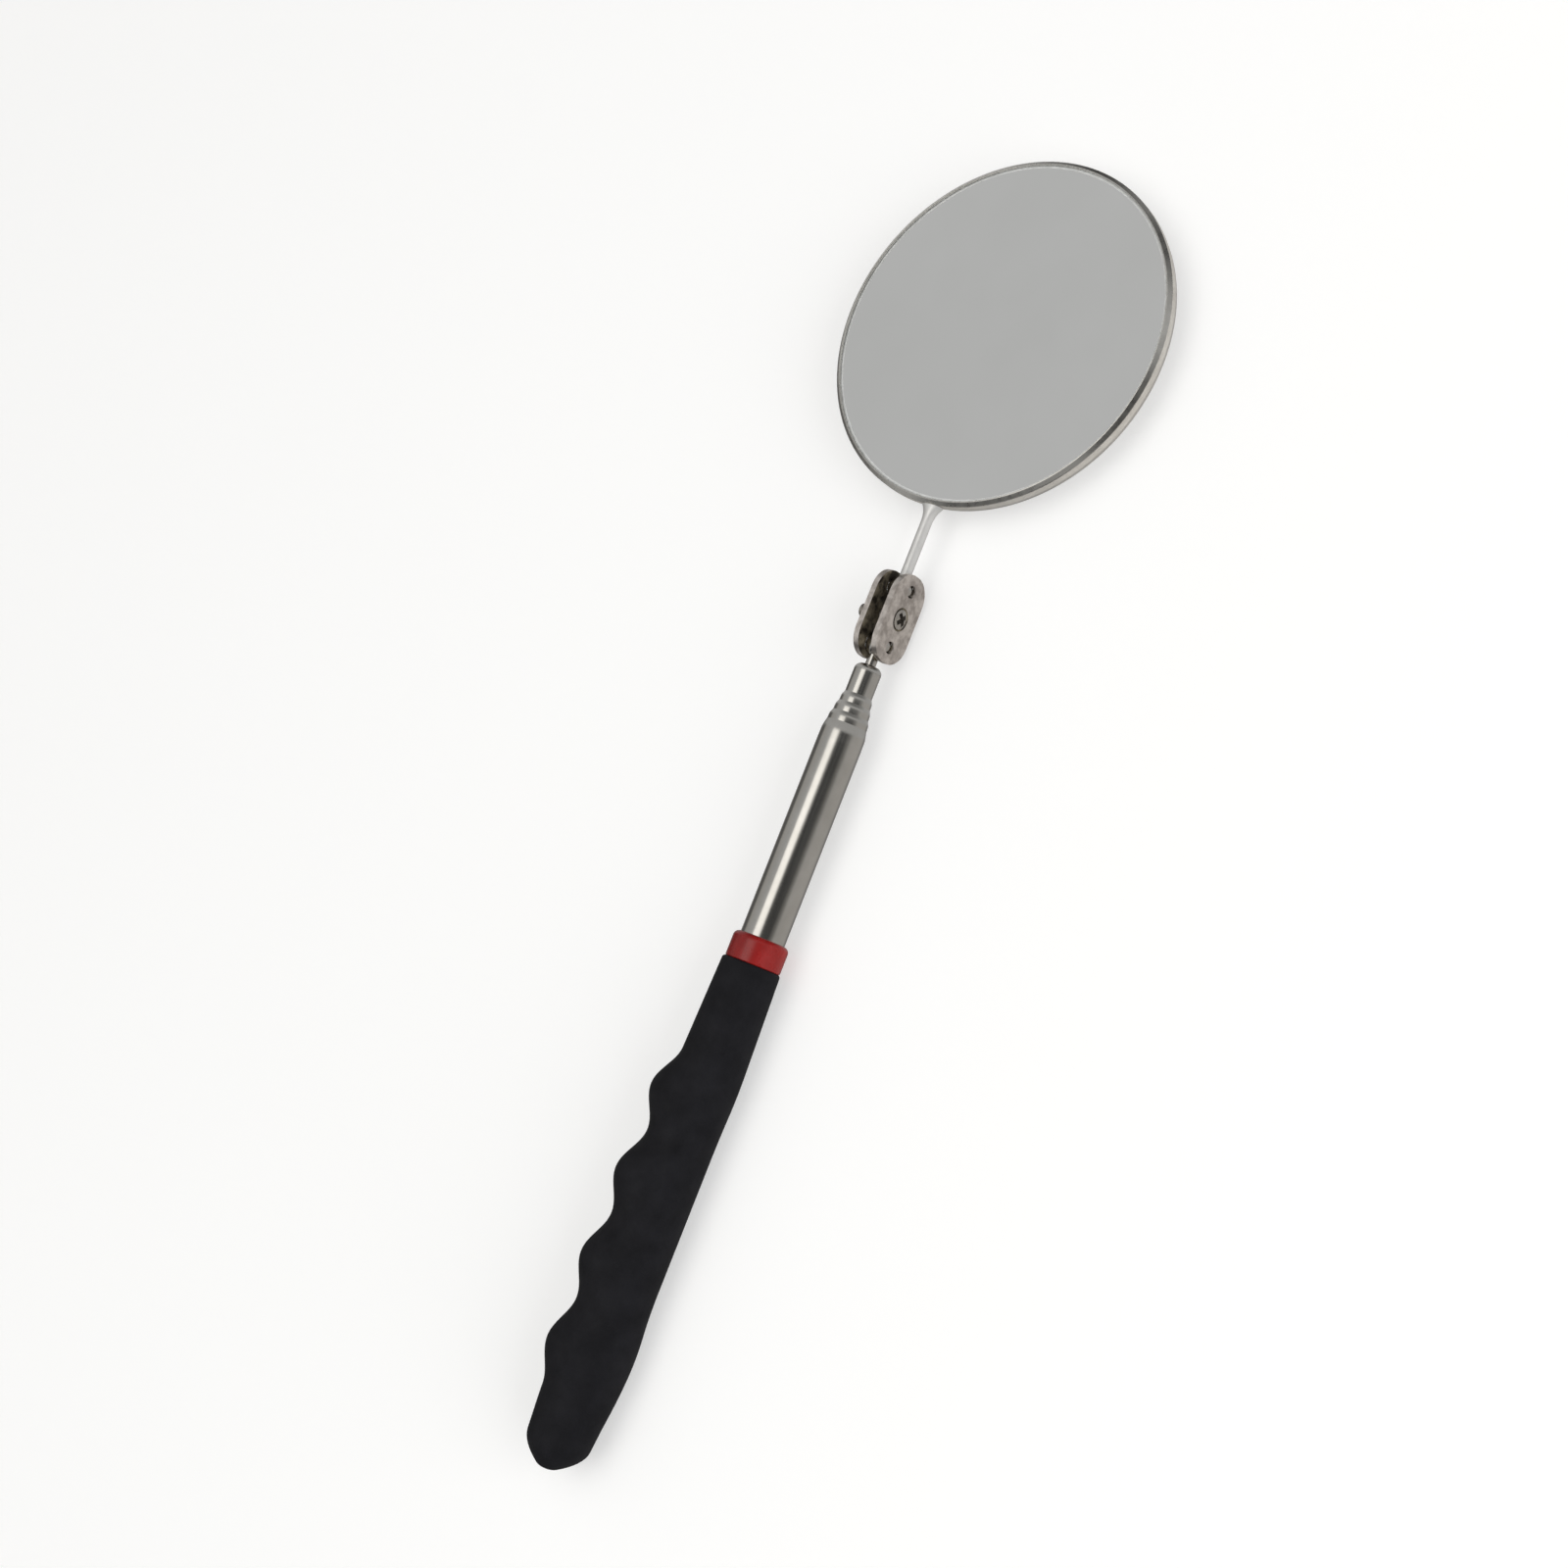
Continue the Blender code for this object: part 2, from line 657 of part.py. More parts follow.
def assemble():
    grip = make_grip()
    lowest = min(vertex.co.z for vertex in grip.data.vertices)

    tool = bpy.data.objects.new("tool_axis", None)
    parts.objects.link(tool)
    tool.empty_display_size = 10 * MM
    tool.location = (-OVERALL_LENGTH / 2, 0, -lowest)
    tool["station"] = 0.0
    place(grip, 0, tool)
    place(make_red_ring(), GRIP_LENGTH + GAP, tool)

    carrier = tool
    names = ("outer_tube", "tube_2", "tube_3", "tube_4", "inner_tube")
    for number, name in enumerate(names):
        tail = section_tail(number)
        if number:
            carrier = joint(f"{name}_slide", tail, carrier)
            place(make_tail_bush(f"{name}_bush", number), tail, carrier)
        place(make_section(name, number), tail, carrier)
    place(make_tail_plug(), OUTER_TAIL, tool)
    place(make_neck_plug(), INNER_TIP, carrier)

    lower_spin = joint("lower_spin", LOWER_BALL, carrier)
    place(make_lower_ball_stud(), LOWER_BALL, lower_spin)

    lower_swing = joint("lower_swing", LOWER_BALL, lower_spin)
    tools = clamp_cutters()
    countersink = tools.pop("countersink")
    clamp = (
        make_clamp_plate("clamp_plate_front", -1, (*tools.values(), countersink)),
        make_clamp_plate("clamp_plate_rear", 1, tools.values()),
        make_clamp_screw(),
        make_clamp_nut(),
    )
    for piece in clamp:
        place(piece, CLAMP_CENTRE, lower_swing)

    upper_swing = joint("upper_swing", UPPER_BALL, lower_swing)
    place(make_upper_ball(), UPPER_BALL, upper_swing)

    upper_spin = joint("upper_spin", UPPER_BALL, upper_swing)
    head = (make_stem(), make_bezel(), make_mirror_glass(), make_backing_pad(), make_back_cover())
    for piece in head:
        place(piece, MIRROR_CENTRE, upper_spin)


clear_scene()
parts = collection("telescoping_inspection_mirror")
cutters = collection("cutters")

BLACK_VINYL = material("black vinyl", (0.014, 0.014, 0.016), 0.55)
RED_PLASTIC = material("red plastic", (0.42, 0.016, 0.012), 0.30)
CHROME = material("chrome", (0.80, 0.79, 0.76), 0.12, 1.0)
SATIN_STEEL = material("satin steel", (0.55, 0.52, 0.48), 0.38, 1.0)
STEEL = material("zinc plated steel", (0.60, 0.58, 0.54), 0.30, 1.0)
BRASS = material("brass", (0.62, 0.46, 0.20), 0.35, 1.0)
GREY_PLASTIC = material("grey plastic", (0.25, 0.25, 0.25), 0.50)
MIRROR = material("silvered glass", (0.90, 0.91, 0.91), 0.02, 1.0)
FOAM = material("grey foam", (0.20, 0.20, 0.20), 0.90)
PAINTED_STEEL = material("plated cover", (0.62, 0.60, 0.55), 0.30, 1.0)

assemble()
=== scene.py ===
"""Looks of the telescoping inspection mirror: fine surfaces, materials, light and camera.

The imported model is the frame: metres, +Z up, the tool lying along X with its mirror at
+X, facing up. Each CAD node that can be seen is replaced by a finer piece of the same
size, on the same body. Nodes that lie inside others stay and get a better material.
"""

import json
import math

import bmesh
import bpy
import numpy as np
from mathutils import Matrix, Vector


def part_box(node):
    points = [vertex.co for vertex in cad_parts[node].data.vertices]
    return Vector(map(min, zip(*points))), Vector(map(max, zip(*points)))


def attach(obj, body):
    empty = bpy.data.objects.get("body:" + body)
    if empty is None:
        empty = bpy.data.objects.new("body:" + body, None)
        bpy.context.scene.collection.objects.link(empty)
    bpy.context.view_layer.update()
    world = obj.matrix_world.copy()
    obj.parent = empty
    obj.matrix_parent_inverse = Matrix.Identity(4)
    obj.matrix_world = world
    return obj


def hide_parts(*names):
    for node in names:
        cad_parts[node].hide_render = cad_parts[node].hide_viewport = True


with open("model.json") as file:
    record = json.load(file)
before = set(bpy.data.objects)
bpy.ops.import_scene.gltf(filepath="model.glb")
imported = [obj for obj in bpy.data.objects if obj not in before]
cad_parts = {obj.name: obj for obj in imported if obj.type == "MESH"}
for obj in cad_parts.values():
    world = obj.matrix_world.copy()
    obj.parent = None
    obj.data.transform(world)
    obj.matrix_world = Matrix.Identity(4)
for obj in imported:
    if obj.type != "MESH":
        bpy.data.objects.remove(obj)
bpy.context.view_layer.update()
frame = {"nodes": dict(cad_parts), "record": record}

MM = 0.001
DEGREE = math.pi / 180
FULL_TURN = 2 * math.pi

RECORD = frame["record"]
BODY_OF = {node: body for body, nodes in RECORD["behaviour"]["bodies"].items() for node in nodes}

# How many sides round pieces have, and where their edges stay sharp
SIDES = 96
MIRROR_SIDES = 240
CLAMP_SIDES = 64
SHARP_ANGLE = 40 * DEGREE
FIT = 0.05 * MM  # between a round piece and the bore it sits in

# The colour sockets of a Mix node: two inputs, one output
MIX_FIRST, MIX_SECOND, MIX_RESULT = 6, 7, 2

# The tool's axis and the middle of its mirror, from the frame
TUBE_LOW, TUBE_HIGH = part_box("outer_tube")
AXIS_Z = (TUBE_LOW.z + TUBE_HIGH.z) / 2
BEZEL_LOW, BEZEL_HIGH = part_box("bezel_ring")
MIRROR_MIDDLE = Vector(((BEZEL_LOW.x + BEZEL_HIGH.x) / 2, 0, AXIS_Z))
MIRROR_RADIUS = (BEZEL_HIGH.x - BEZEL_LOW.x) / 2

# Camera: where it stands from the middle of the mirror, and how it is turned
CAMERA_OFFSET = Vector((-0.15323, -0.29805, 0.41276))
CAMERA_BACK = Vector((-0.08605, -0.59572, 0.79857))
CAMERA_UP = Vector((0.92669, 0.24648, 0.28372))
CAMERA_LENS, SENSOR_WIDTH = 54.62, 36  # millimetres


# -------- camera, light, floor


def make_camera():
    camera = bpy.data.objects.new("camera", bpy.data.cameras.new("camera"))
    bpy.context.scene.collection.objects.link(camera)
    back = CAMERA_BACK.normalized()
    right = CAMERA_UP.cross(back).normalized()
    up = back.cross(right)
    turned = Matrix((right, up, back)).transposed().to_4x4()
    camera.matrix_world = Matrix.Translation(MIRROR_MIDDLE + CAMERA_OFFSET) @ turned
    camera.data.lens = CAMERA_LENS
    camera.data.sensor_width = SENSOR_WIDTH
    camera.data.clip_start = 0.01
    bpy.context.scene.camera = camera


# The studio is a tent round the tool's axis: angle up from +Y and over towards -Y, and
# the tent's colour there. A long soft panel hangs overhead, black cloth beside it, and
# a narrower black cloth low on the other side.
TENT = (
    (-180, (0.42, 0.41, 0.395)),
    (-150, (0.44, 0.425, 0.405)),
    (-112, (0.44, 0.425, 0.405)),
    (-85, (0.22, 0.215, 0.21)),
    (-32, (0.33, 0.325, 0.31)),
    (-20, (0.11, 0.108, 0.105)),
    (6, (0.11, 0.108, 0.105)),
    (16, (0.40, 0.39, 0.37)),
    (35, (0.42, 0.415, 0.405)),
    (48, (0.43, 0.43, 0.425)),
    (67, (0.475, 0.475, 0.47)),
    (72, (1.50, 1.47, 1.41)),
    (98, (1.50, 1.47, 1.41)),
    (109, (0.10, 0.098, 0.095)),
    (118, (0.055, 0.055, 0.054)),
    (148, (0.055, 0.055, 0.054)),
    (166, (0.20, 0.195, 0.185)),
    (180, (0.42, 0.41, 0.395)),
)
# How much of the panel and cloth is left at shares of X; plain walls stand beyond them
TENT_REACH = ((-1, 0), (-0.62, 0), (-0.42, 1), (0.17, 1), (0.32, 0), (1, 0))
PLAIN_WALLS = (0.45, 0.45, 0.445)
# How bright the whole tent is at shares of X: dark cloth hangs near both of its ends
TENT_ENDS = (
    (-1, 0.9),
    (-0.96, 0.6),
    (-0.87, 0.12),
    (-0.80, 0.12),
    (-0.64, 1),
    (0.66, 1),
    (0.88, 0.10),
    (0.96, 0.12),
    (1, 0.8),
)


def make_world():
    world = bpy.data.worlds.new("studio tent")
    bpy.context.scene.world = world
    world.use_nodes = True
    nodes, links = world.node_tree.nodes, world.node_tree.links

    def ramp(source, low, high, stops):
        """Looks a value from low to high up in a table of stops."""
        share = nodes.new("ShaderNodeMapRange")
        share.inputs["From Min"].default_value = low
        share.inputs["From Max"].default_value = high
        links.new(source, share.inputs["Value"])
        node = nodes.new("ShaderNodeValToRGB")
        links.new(share.outputs[0], node.inputs[0])
        elements = node.color_ramp.elements
        elements.remove(elements[-1])
        for i, (value, colour) in enumerate(stops):
            place = (value - low) / (high - low)
            stop = elements.new(place) if i else elements[0]
            stop.position = place
            shades = colour if isinstance(colour, tuple) else (colour,) * 3
            stop.color = (*shades, 1)
        return node.outputs["Color"]

    direction = nodes.new("ShaderNodeTexCoord").outputs["Generated"]
    split = nodes.new("ShaderNodeSeparateXYZ")
    links.new(direction, split.inputs[0])
    angle = nodes.new("ShaderNodeMath")
    angle.operation = "ARCTAN2"
    links.new(split.outputs["Z"], angle.inputs[0])
    links.new(split.outputs["Y"], angle.inputs[1])
    mix = nodes.new("ShaderNodeMix")
    mix.data_type = "RGBA"
    links.new(ramp(split.outputs["X"], -1, 1, TENT_REACH), mix.inputs["Factor"])
    mix.inputs[MIX_FIRST].default_value = (*PLAIN_WALLS, 1)
    in_radians = [(degrees * DEGREE, colour) for degrees, colour in TENT]
    links.new(ramp(angle.outputs[0], -math.pi, math.pi, in_radians), mix.inputs[MIX_SECOND])
    links.new(mix.outputs[MIX_RESULT], nodes["Background"].inputs["Color"])
    links.new(ramp(split.outputs["X"], -1, 1, TENT_ENDS), nodes["Background"].inputs["Strength"])


def make_soft_light(name, place, size, power):
    """A big area light that points at the middle of the tool and isn't mirrored in it."""
    light = bpy.data.objects.new(name, bpy.data.lights.new(name, "AREA"))
    bpy.context.scene.collection.objects.link(light)
    light.data.size = size
    light.data.energy = power
    light.location = place
    light.rotation_euler = (-Vector(place)).to_track_quat("-Z", "Y").to_euler()
    light.visible_glossy = False


FLOOR_REACH = 12  # metres each way
FLOOR_DROP = 0.02 * MM  # keeps it just clear of the grip
FLOOR_GLOW = 0.44
BACKDROP_SIDES = 64
BACKDROP_INSET = 0.1  # metres in from the floor's edge
BACKDROP_FOOT, BACKDROP_TOP = -0.5, 12
BACKDROP_GLOW = 0.78


def stage_piece(name, shape, look):
    """A piece of the studio. Chrome mirrors the tent instead of it."""
    mesh = bpy.data.meshes.new(name)
    shape.to_mesh(mesh)
    shape.free()
    mesh.materials.append(look.material)
    piece = bpy.data.objects.new(name, mesh)
    bpy.context.scene.collection.objects.link(piece)
    piece.visible_glossy = False
    return piece


def make_floor():
    """A pale light table, whose glow keeps the shadows soft."""
    glow = {"Emission Color": (1, 1, 1, 1), "Emission Strength": FLOOR_GLOW}
    look = Look("light table", (0.62, 0.62, 0.615), roughness=0.7, **glow)
    look.vary_roughness(look.noise(30 * MM), 0.65, 0.8)
    shape = bmesh.new()
    bmesh.ops.create_grid(shape, x_segments=1, y_segments=1, size=FLOOR_REACH)
    floor = stage_piece("floor", shape, look)
    floor.location.z = -FLOOR_DROP


def make_backdrop():
    """A white paper wall far behind the floor on all sides. It lights nothing."""
    glow = {"Emission Color": (1, 1, 0.995, 1), "Emission Strength": BACKDROP_GLOW}
    look = Look("backdrop paper", (0.0, 0.0, 0.0), roughness=1.0, Specular_IOR_Level=0.0, **glow)
    look.vary_roughness(look.noise(300 * MM), 0.9, 1.0)
    shape = bmesh.new()
    reach = FLOOR_REACH - BACKDROP_INSET
    turns = [FULL_TURN * i / BACKDROP_SIDES for i in range(BACKDROP_SIDES)]
    foot, top = (
        [shape.verts.new((reach * math.cos(t), reach * math.sin(t), height)) for t in turns]
        for height in (BACKDROP_FOOT, BACKDROP_TOP)
    )
    for i in range(BACKDROP_SIDES):
        shape.faces.new((foot[i - 1], foot[i], top[i], top[i - 1]))
    backdrop = stage_piece("backdrop", shape, look)
    backdrop.visible_diffuse = False
    backdrop.visible_shadow = False


# -------- materials


class Look:
    """A material with a Principled shader, and short ways to add texture to it."""

    def __init__(self, name, colour, metallic=0.0, roughness=0.5, **sockets):
        self.material = bpy.data.materials.new(name)
        self.material.use_nodes = True
        self.nodes = self.material.node_tree.nodes
        self.links = self.material.node_tree.links
        self.shader = self.nodes["Principled BSDF"]
        sockets |= {"Base Color": (*colour, 1), "Metallic": metallic, "Roughness": roughness}
        for socket, value in sockets.items():
            self.shader.inputs[socket.replace("_", " ")].default_value = value
        self.place = self.nodes.new("ShaderNodeTexCoord").outputs["Object"]
        self.normal = None

    def noise(self, size, stretch=(1, 1, 1), detail=3.0, roughness=0.55):
        """Noise whose features are about size across, and stretch times longer."""
        mapping = self.nodes.new("ShaderNodeMapping")
        mapping.inputs["Scale"].default_value = [1 / (size * times) for times in stretch]
        self.links.new(self.place, mapping.inputs["Vector"])
        texture = self.nodes.new("ShaderNodeTexNoise")
        texture.inputs["Scale"].default_value = 1
        texture.inputs["Detail"].default_value = detail
        texture.inputs["Roughness"].default_value = roughness
        self.links.new(mapping.outputs[0], texture.inputs["Vector"])
        return texture.outputs["Fac"]

    def cells(self, size):
        """Distance to the nearest of scattered points that are about size apart."""
        texture = self.nodes.new("ShaderNodeTexVoronoi")
        texture.inputs["Scale"].default_value = 1 / size
        self.links.new(self.place, texture.inputs["Vector"])
        return texture.outputs["Distance"]

    def vector_math(self, operation, source, *value):
        """A vector node for the source and, if there is one, a fixed value."""
        node = self.nodes.new("ShaderNodeVectorMath")
        node.operation = operation
        self.links.new(source, node.inputs[0])
        if value:
            node.inputs[1].default_value = value[0]
        return node.outputs

    def rings(self, size):
        """Noise in rings round the mirror's upright axis, as spinning leaves."""
        offset = self.vector_math("SUBTRACT", self.place, MIRROR_MIDDLE)
        level = self.vector_math("MULTIPLY", offset["Vector"], (1, 1, 0))
        distance = self.vector_math("LENGTH", level["Vector"])
        texture = self.nodes.new("ShaderNodeTexNoise")
        texture.noise_dimensions = "1D"
        texture.inputs["Scale"].default_value = 1 / size
        self.links.new(distance["Value"], texture.inputs["W"])
        return texture.outputs["Fac"]

    def spread(self, source, low, high, to_low, to_high):
        """Maps the stretch from low to high onto another one."""
        node = self.nodes.new("ShaderNodeMapRange")
        stretches = {"From Min": low, "From Max": high, "To Min": to_low, "To Max": to_high}
        for socket, value in stretches.items():
            node.inputs[socket].default_value = value
        self.links.new(source, node.inputs["Value"])
        return node.outputs[0]

    def vary_colour(self, source, dark, light, low=0.3, high=0.7):
        """Runs the colour from dark to light with the source."""
        mix = self.nodes.new("ShaderNodeMix")
        mix.data_type = "RGBA"
        self.links.new(self.spread(source, low, high, 0, 1), mix.inputs["Factor"])
        mix.inputs[MIX_FIRST].default_value = (*dark, 1)
        mix.inputs[MIX_SECOND].default_value = (*light, 1)
        self.links.new(mix.outputs[MIX_RESULT], self.shader.inputs["Base Color"])

    def vary_roughness(self, source, smooth, rough, low=0.3, high=0.7):
        """Runs the roughness from smooth to rough with the source."""
        self.links.new(self.spread(source, low, high, smooth, rough), self.shader.inputs["Roughness"])

    def bump(self, source, depth, strength=1.0):
        """Raises the surface by up to depth; further calls add to the first."""
        node = self.nodes.new("ShaderNodeBump")
        node.inputs["Distance"].default_value = depth
        node.inputs["Strength"].default_value = strength
        self.links.new(source, node.inputs["Height"])
        if self.normal:
            self.links.new(self.normal, node.inputs["Normal"])
        self.normal = node.outputs[0]
        self.links.new(self.normal, self.shader.inputs["Normal"])


def vinyl():
    """Matt black dipped vinyl with a fine grain and faint handling marks."""
    look = Look("grip vinyl", (0.007, 0.007, 0.0085), roughness=0.7, Specular_IOR_Level=0.22)
    look.vary_colour(look.noise(6 * MM), (0.0055, 0.0055, 0.0070), (0.0095, 0.0095, 0.0120))
    look.vary_roughness(look.noise(4 * MM, detail=5), 0.62, 0.78)
    look.bump(look.noise(0.35 * MM, detail=4), 0.045 * MM)
    look.bump(look.noise(3.5 * MM), 0.12 * MM, 0.5)
    return look.material


def red_plastic():
    look = Look("ring plastic", (0.23, 0.006, 0.005), roughness=0.28)
    look.vary_colour(look.noise(2.5 * MM), (0.205, 0.004, 0.003), (0.255, 0.008, 0.007))
    look.vary_roughness(look.noise(2.0 * MM), 0.25, 0.31)
    look.bump(look.noise(1.6 * MM, detail=0), 0.002 * MM)
    return look.material


def tube_chrome():
    """Chrome over drawn tube: faint lines along it, and rub marks round it."""
    look = Look("tube chrome", (0.62, 0.605, 0.575), metallic=1.0, roughness=0.19)
    look.vary_colour(look.noise(7 * MM, detail=4), (0.57, 0.555, 0.525), (0.66, 0.645, 0.615))
    look.vary_roughness(look.noise(0.5 * MM, stretch=(60, 1, 1), detail=4), 0.14, 0.24)
    look.bump(look.noise(0.25 * MM, stretch=(90, 1, 1)), 0.0012 * MM)
    look.bump(look.noise(0.22 * MM, stretch=(1, 40, 40)), 0.0008 * MM)
    return look.material


def stem_plate():
    """Bright zinc plate on wire, softer than the tubes' chrome."""
    look = Look("stem plate", (0.80, 0.795, 0.78), metallic=0.7, roughness=0.45)
    look.vary_colour(look.noise(3 * MM, detail=4), (0.74, 0.735, 0.72), (0.85, 0.845, 0.83))
    look.vary_roughness(look.noise(0.6 * MM, stretch=(12, 1, 1)), 0.40, 0.54)
    look.bump(look.noise(0.3 * MM, stretch=(20, 1, 1)), 0.002 * MM)
    return look.material


def bezel_chrome():
    look = Look("bezel chrome", (0.74, 0.725, 0.69), metallic=1.0, roughness=0.28)
    look.vary_colour(look.noise(5 * MM, detail=4), (0.68, 0.665, 0.63), (0.78, 0.765, 0.73))
    look.vary_roughness(look.noise(1.5 * MM, detail=5), 0.23, 0.35)
    look.bump(look.rings(0.12 * MM), 0.002 * MM)
    return look.material


def bezel_wall_painted_reflection():
    """The bezel's side wall: a satin finish whose pale warm colour is a painted reflection of the floor
    below it.
    """
    look = Look("bezel wall reflection", (0.64, 0.61, 0.56), metallic=0.5, roughness=0.36)
    look.vary_colour(look.noise(4 * MM, detail=5), (0.56, 0.53, 0.485), (0.70, 0.67, 0.62))
    look.vary_roughness(look.noise(2 * MM, detail=5), 0.30, 0.46)
    look.bump(look.noise(0.2 * MM, stretch=(1, 1, 0.2)), 0.003 * MM)
    return look.material


def cover_steel():
    """Plated pressed steel, spun to a satin, with soft smudges."""
    look = Look("cover steel", (0.70, 0.68, 0.64), metallic=0.9, roughness=0.33)
    look.vary_colour(look.noise(9 * MM, detail=5), (0.63, 0.61, 0.575), (0.75, 0.73, 0.69))
    look.vary_roughness(look.noise(12 * MM, detail=6), 0.26, 0.42)
    look.bump(look.rings(0.18 * MM), 0.006 * MM)
    return look.material


def silvered_glass():
    """A clean mirror: hardly any haze, and a few faint wipe marks."""
    look = Look("mirror glass", (0.95, 0.953, 0.95), metallic=1.0, roughness=0.02)
    look.vary_colour(look.noise(22 * MM, detail=2), (0.935, 0.94, 0.932), (0.965, 0.97, 0.965))
    look.vary_roughness(look.noise(14 * MM, stretch=(1, 3, 1), detail=6), 0.015, 0.06, 0.45, 0.75)
    return look.material


def ground_glass():
    """The mirror's ground edge, which shows as a pale line inside the bezel."""
    look = Look("ground glass", (0.72, 0.73, 0.72), roughness=0.4)
    look.vary_colour(look.noise(2 * MM, detail=3), (0.62, 0.63, 0.62), (0.80, 0.81, 0.80))
    look.vary_roughness(look.noise(0.8 * MM), 0.34, 0.5)
    look.bump(look.noise(0.2 * MM), 0.004 * MM)
    return look.material


def plate_steel():
    """Satin nickel plate on stamped steel, mottled by handling."""
    look = Look("clamp steel", (0.72, 0.66, 0.62), metallic=1.0, roughness=0.36)
    look.vary_colour(look.noise(2.2 * MM, detail=3), (0.54, 0.49, 0.455), (0.90, 0.835, 0.785), 0.38, 0.62)
    look.vary_roughness(look.noise(0.5 * MM, stretch=(8, 1, 1), detail=5), 0.28, 0.44)
    look.bump(look.noise(0.18 * MM, stretch=(14, 1, 1)), 0.006 * MM)
    look.bump(look.noise(1.3 * MM), 0.05 * MM, 0.6)
    return look.material


def rubbed_steel():
    """The same plate where its rounded edges are rubbed brighter and smoother."""
    look = Look("rubbed steel", (0.66, 0.61, 0.57), metallic=1.0, roughness=0.26)
    look.vary_colour(look.noise(0.8 * MM, detail=4), (0.50, 0.46, 0.425), (0.78, 0.73, 0.69))
    look.vary_roughness(look.noise(0.4 * MM, detail=4), 0.20, 0.34)
    look.bump(look.noise(0.25 * MM), 0.008 * MM)
    return look.material


def shaded_inner_steel():
    """The plates' inner faces and the insides of their holes: steel darkened with painted shade for the
    gap between the plates and the holes, mottled at random.
    """
    # the dark base colour is painted shade
    look = Look("inner steel in painted shade", (0.14, 0.12, 0.09), metallic=0.6, roughness=0.42)
    look.vary_colour(look.noise(2.4 * MM, detail=4), (0.035, 0.028, 0.02), (0.36, 0.31, 0.225), 0.4, 0.65)
    look.vary_roughness(look.noise(0.8 * MM), 0.36, 0.55)
    look.bump(look.noise(0.3 * MM), 0.012 * MM)
    return look.material


def recess_painted_shade():
    """The screw's driver recess in painted shade: a near black colour, mottled at random."""
    look = Look("recess shade", (0.025, 0.021, 0.017), metallic=0.3, roughness=0.6)
    look.vary_colour(look.noise(0.5 * MM), (0.015, 0.012, 0.010), (0.06, 0.052, 0.042))
    look.vary_roughness(look.noise(0.4 * MM), 0.5, 0.7)
    look.bump(look.noise(0.2 * MM), 0.01 * MM)
    return look.material


def screw_steel():
    look = Look("screw steel", (0.56, 0.53, 0.49), metallic=1.0, roughness=0.28)
    look.vary_colour(look.noise(0.9 * MM, detail=4), (0.46, 0.43, 0.395), (0.60, 0.57, 0.53))
    look.vary_roughness(look.noise(0.4 * MM, detail=4), 0.22, 0.38)
    look.bump(look.noise(0.2 * MM), 0.004 * MM)
    return look.material


def ball_steel():
    look = Look("ball steel", (0.60, 0.58, 0.55), metallic=1.0, roughness=0.14)
    look.vary_colour(look.noise(1.5 * MM, detail=4), (0.52, 0.50, 0.47), (0.64, 0.62, 0.59))
    look.vary_roughness(look.noise(0.5 * MM, detail=5), 0.10, 0.24)
    look.bump(look.noise(0.25 * MM), 0.002 * MM)
    return look.material


def bush_brass():
    look = Look("bush brass", (0.62, 0.43, 0.18), metallic=1.0, roughness=0.3)
    look.vary_colour(look.noise(1.5 * MM, detail=4), (0.52, 0.35, 0.14), (0.68, 0.49, 0.22))
    look.vary_roughness(look.noise(0.3 * MM, stretch=(1, 20, 20)), 0.24, 0.4)
    look.bump(look.noise(0.15 * MM, stretch=(1, 30, 30)), 0.006 * MM)
    return look.material


def plug_plastic():
    look = Look("plug plastic", (0.20, 0.20, 0.20), roughness=0.5)
    look.vary_colour(look.noise(1.2 * MM), (0.17, 0.17, 0.17), (0.23, 0.23, 0.23))
    look.vary_roughness(look.noise(0.6 * MM), 0.42, 0.58)
    look.bump(look.noise(0.3 * MM), 0.015 * MM)
    return look.material


def pad_foam():
    look = Look("pad foam", (0.16, 0.16, 0.165), roughness=0.95)
    look.vary_colour(look.cells(0.8 * MM), (0.08, 0.08, 0.085), (0.20, 0.20, 0.205), 0.0, 0.5)
    look.vary_roughness(look.noise(2 * MM), 0.9, 1.0)
    look.bump(look.cells(0.7 * MM), 0.15 * MM)
    return look.material


# -------- mesh building


def arc(along, radius, size, start, end, points=9):
    """(along, radius) points of an arc; 0 degrees points along, 90 degrees outward."""
    turns = np.radians(np.linspace(start, end, points))
    return [(along + size * math.cos(t), radius + size * math.sin(t)) for t in turns]


EASED_SHARE = 0.45  # of the shorter side, at most, that a corner's rounding takes up


def eased(outline, size, ring=False, steps=4):
    """The outline with each of its corners rounded off by up to size."""
    points = [np.array(p, float) for p in outline]
    made = []
    for i, corner in enumerate(points):
        if not ring and i in (0, len(points) - 1):
            made.append(tuple(corner))
            continue
        sides = [points[i - 1] - corner, points[(i + 1) % len(points)] - corner]
        lengths = [np.linalg.norm(side) for side in sides]
        reaches = [min(size, EASED_SHARE * length) / length for length in lengths]
        start, end = (corner + side * reach for side, reach in zip(sides, reaches))
        for t in np.linspace(0, 1, steps + 1):
            bent = (1 - t) ** 2 * start + 2 * t * (1 - t) * corner + t**2 * end
            made.append(tuple(bent))
    return made


def lofted(name, rows, look, ring=False):
    """A closed surface through rows of points; a row of one point is a tip."""
    shape = bmesh.new()
    rows = [[shape.verts.new(point) for point in row] for row in rows]
    for low, high in zip(rows, rows[1:] + rows[:1] if ring else rows[1:]):
        for i in range(max(len(low), len(high))):
            j = i + 1
            corners = (low[i % len(low)], low[j % len(low)], high[j % len(high)], high[i % len(high)])
            shape.faces.new(list(dict.fromkeys(corners)))
    bmesh.ops.recalc_face_normals(shape, faces=shape.faces)
    return mesh_object(name, shape, look)


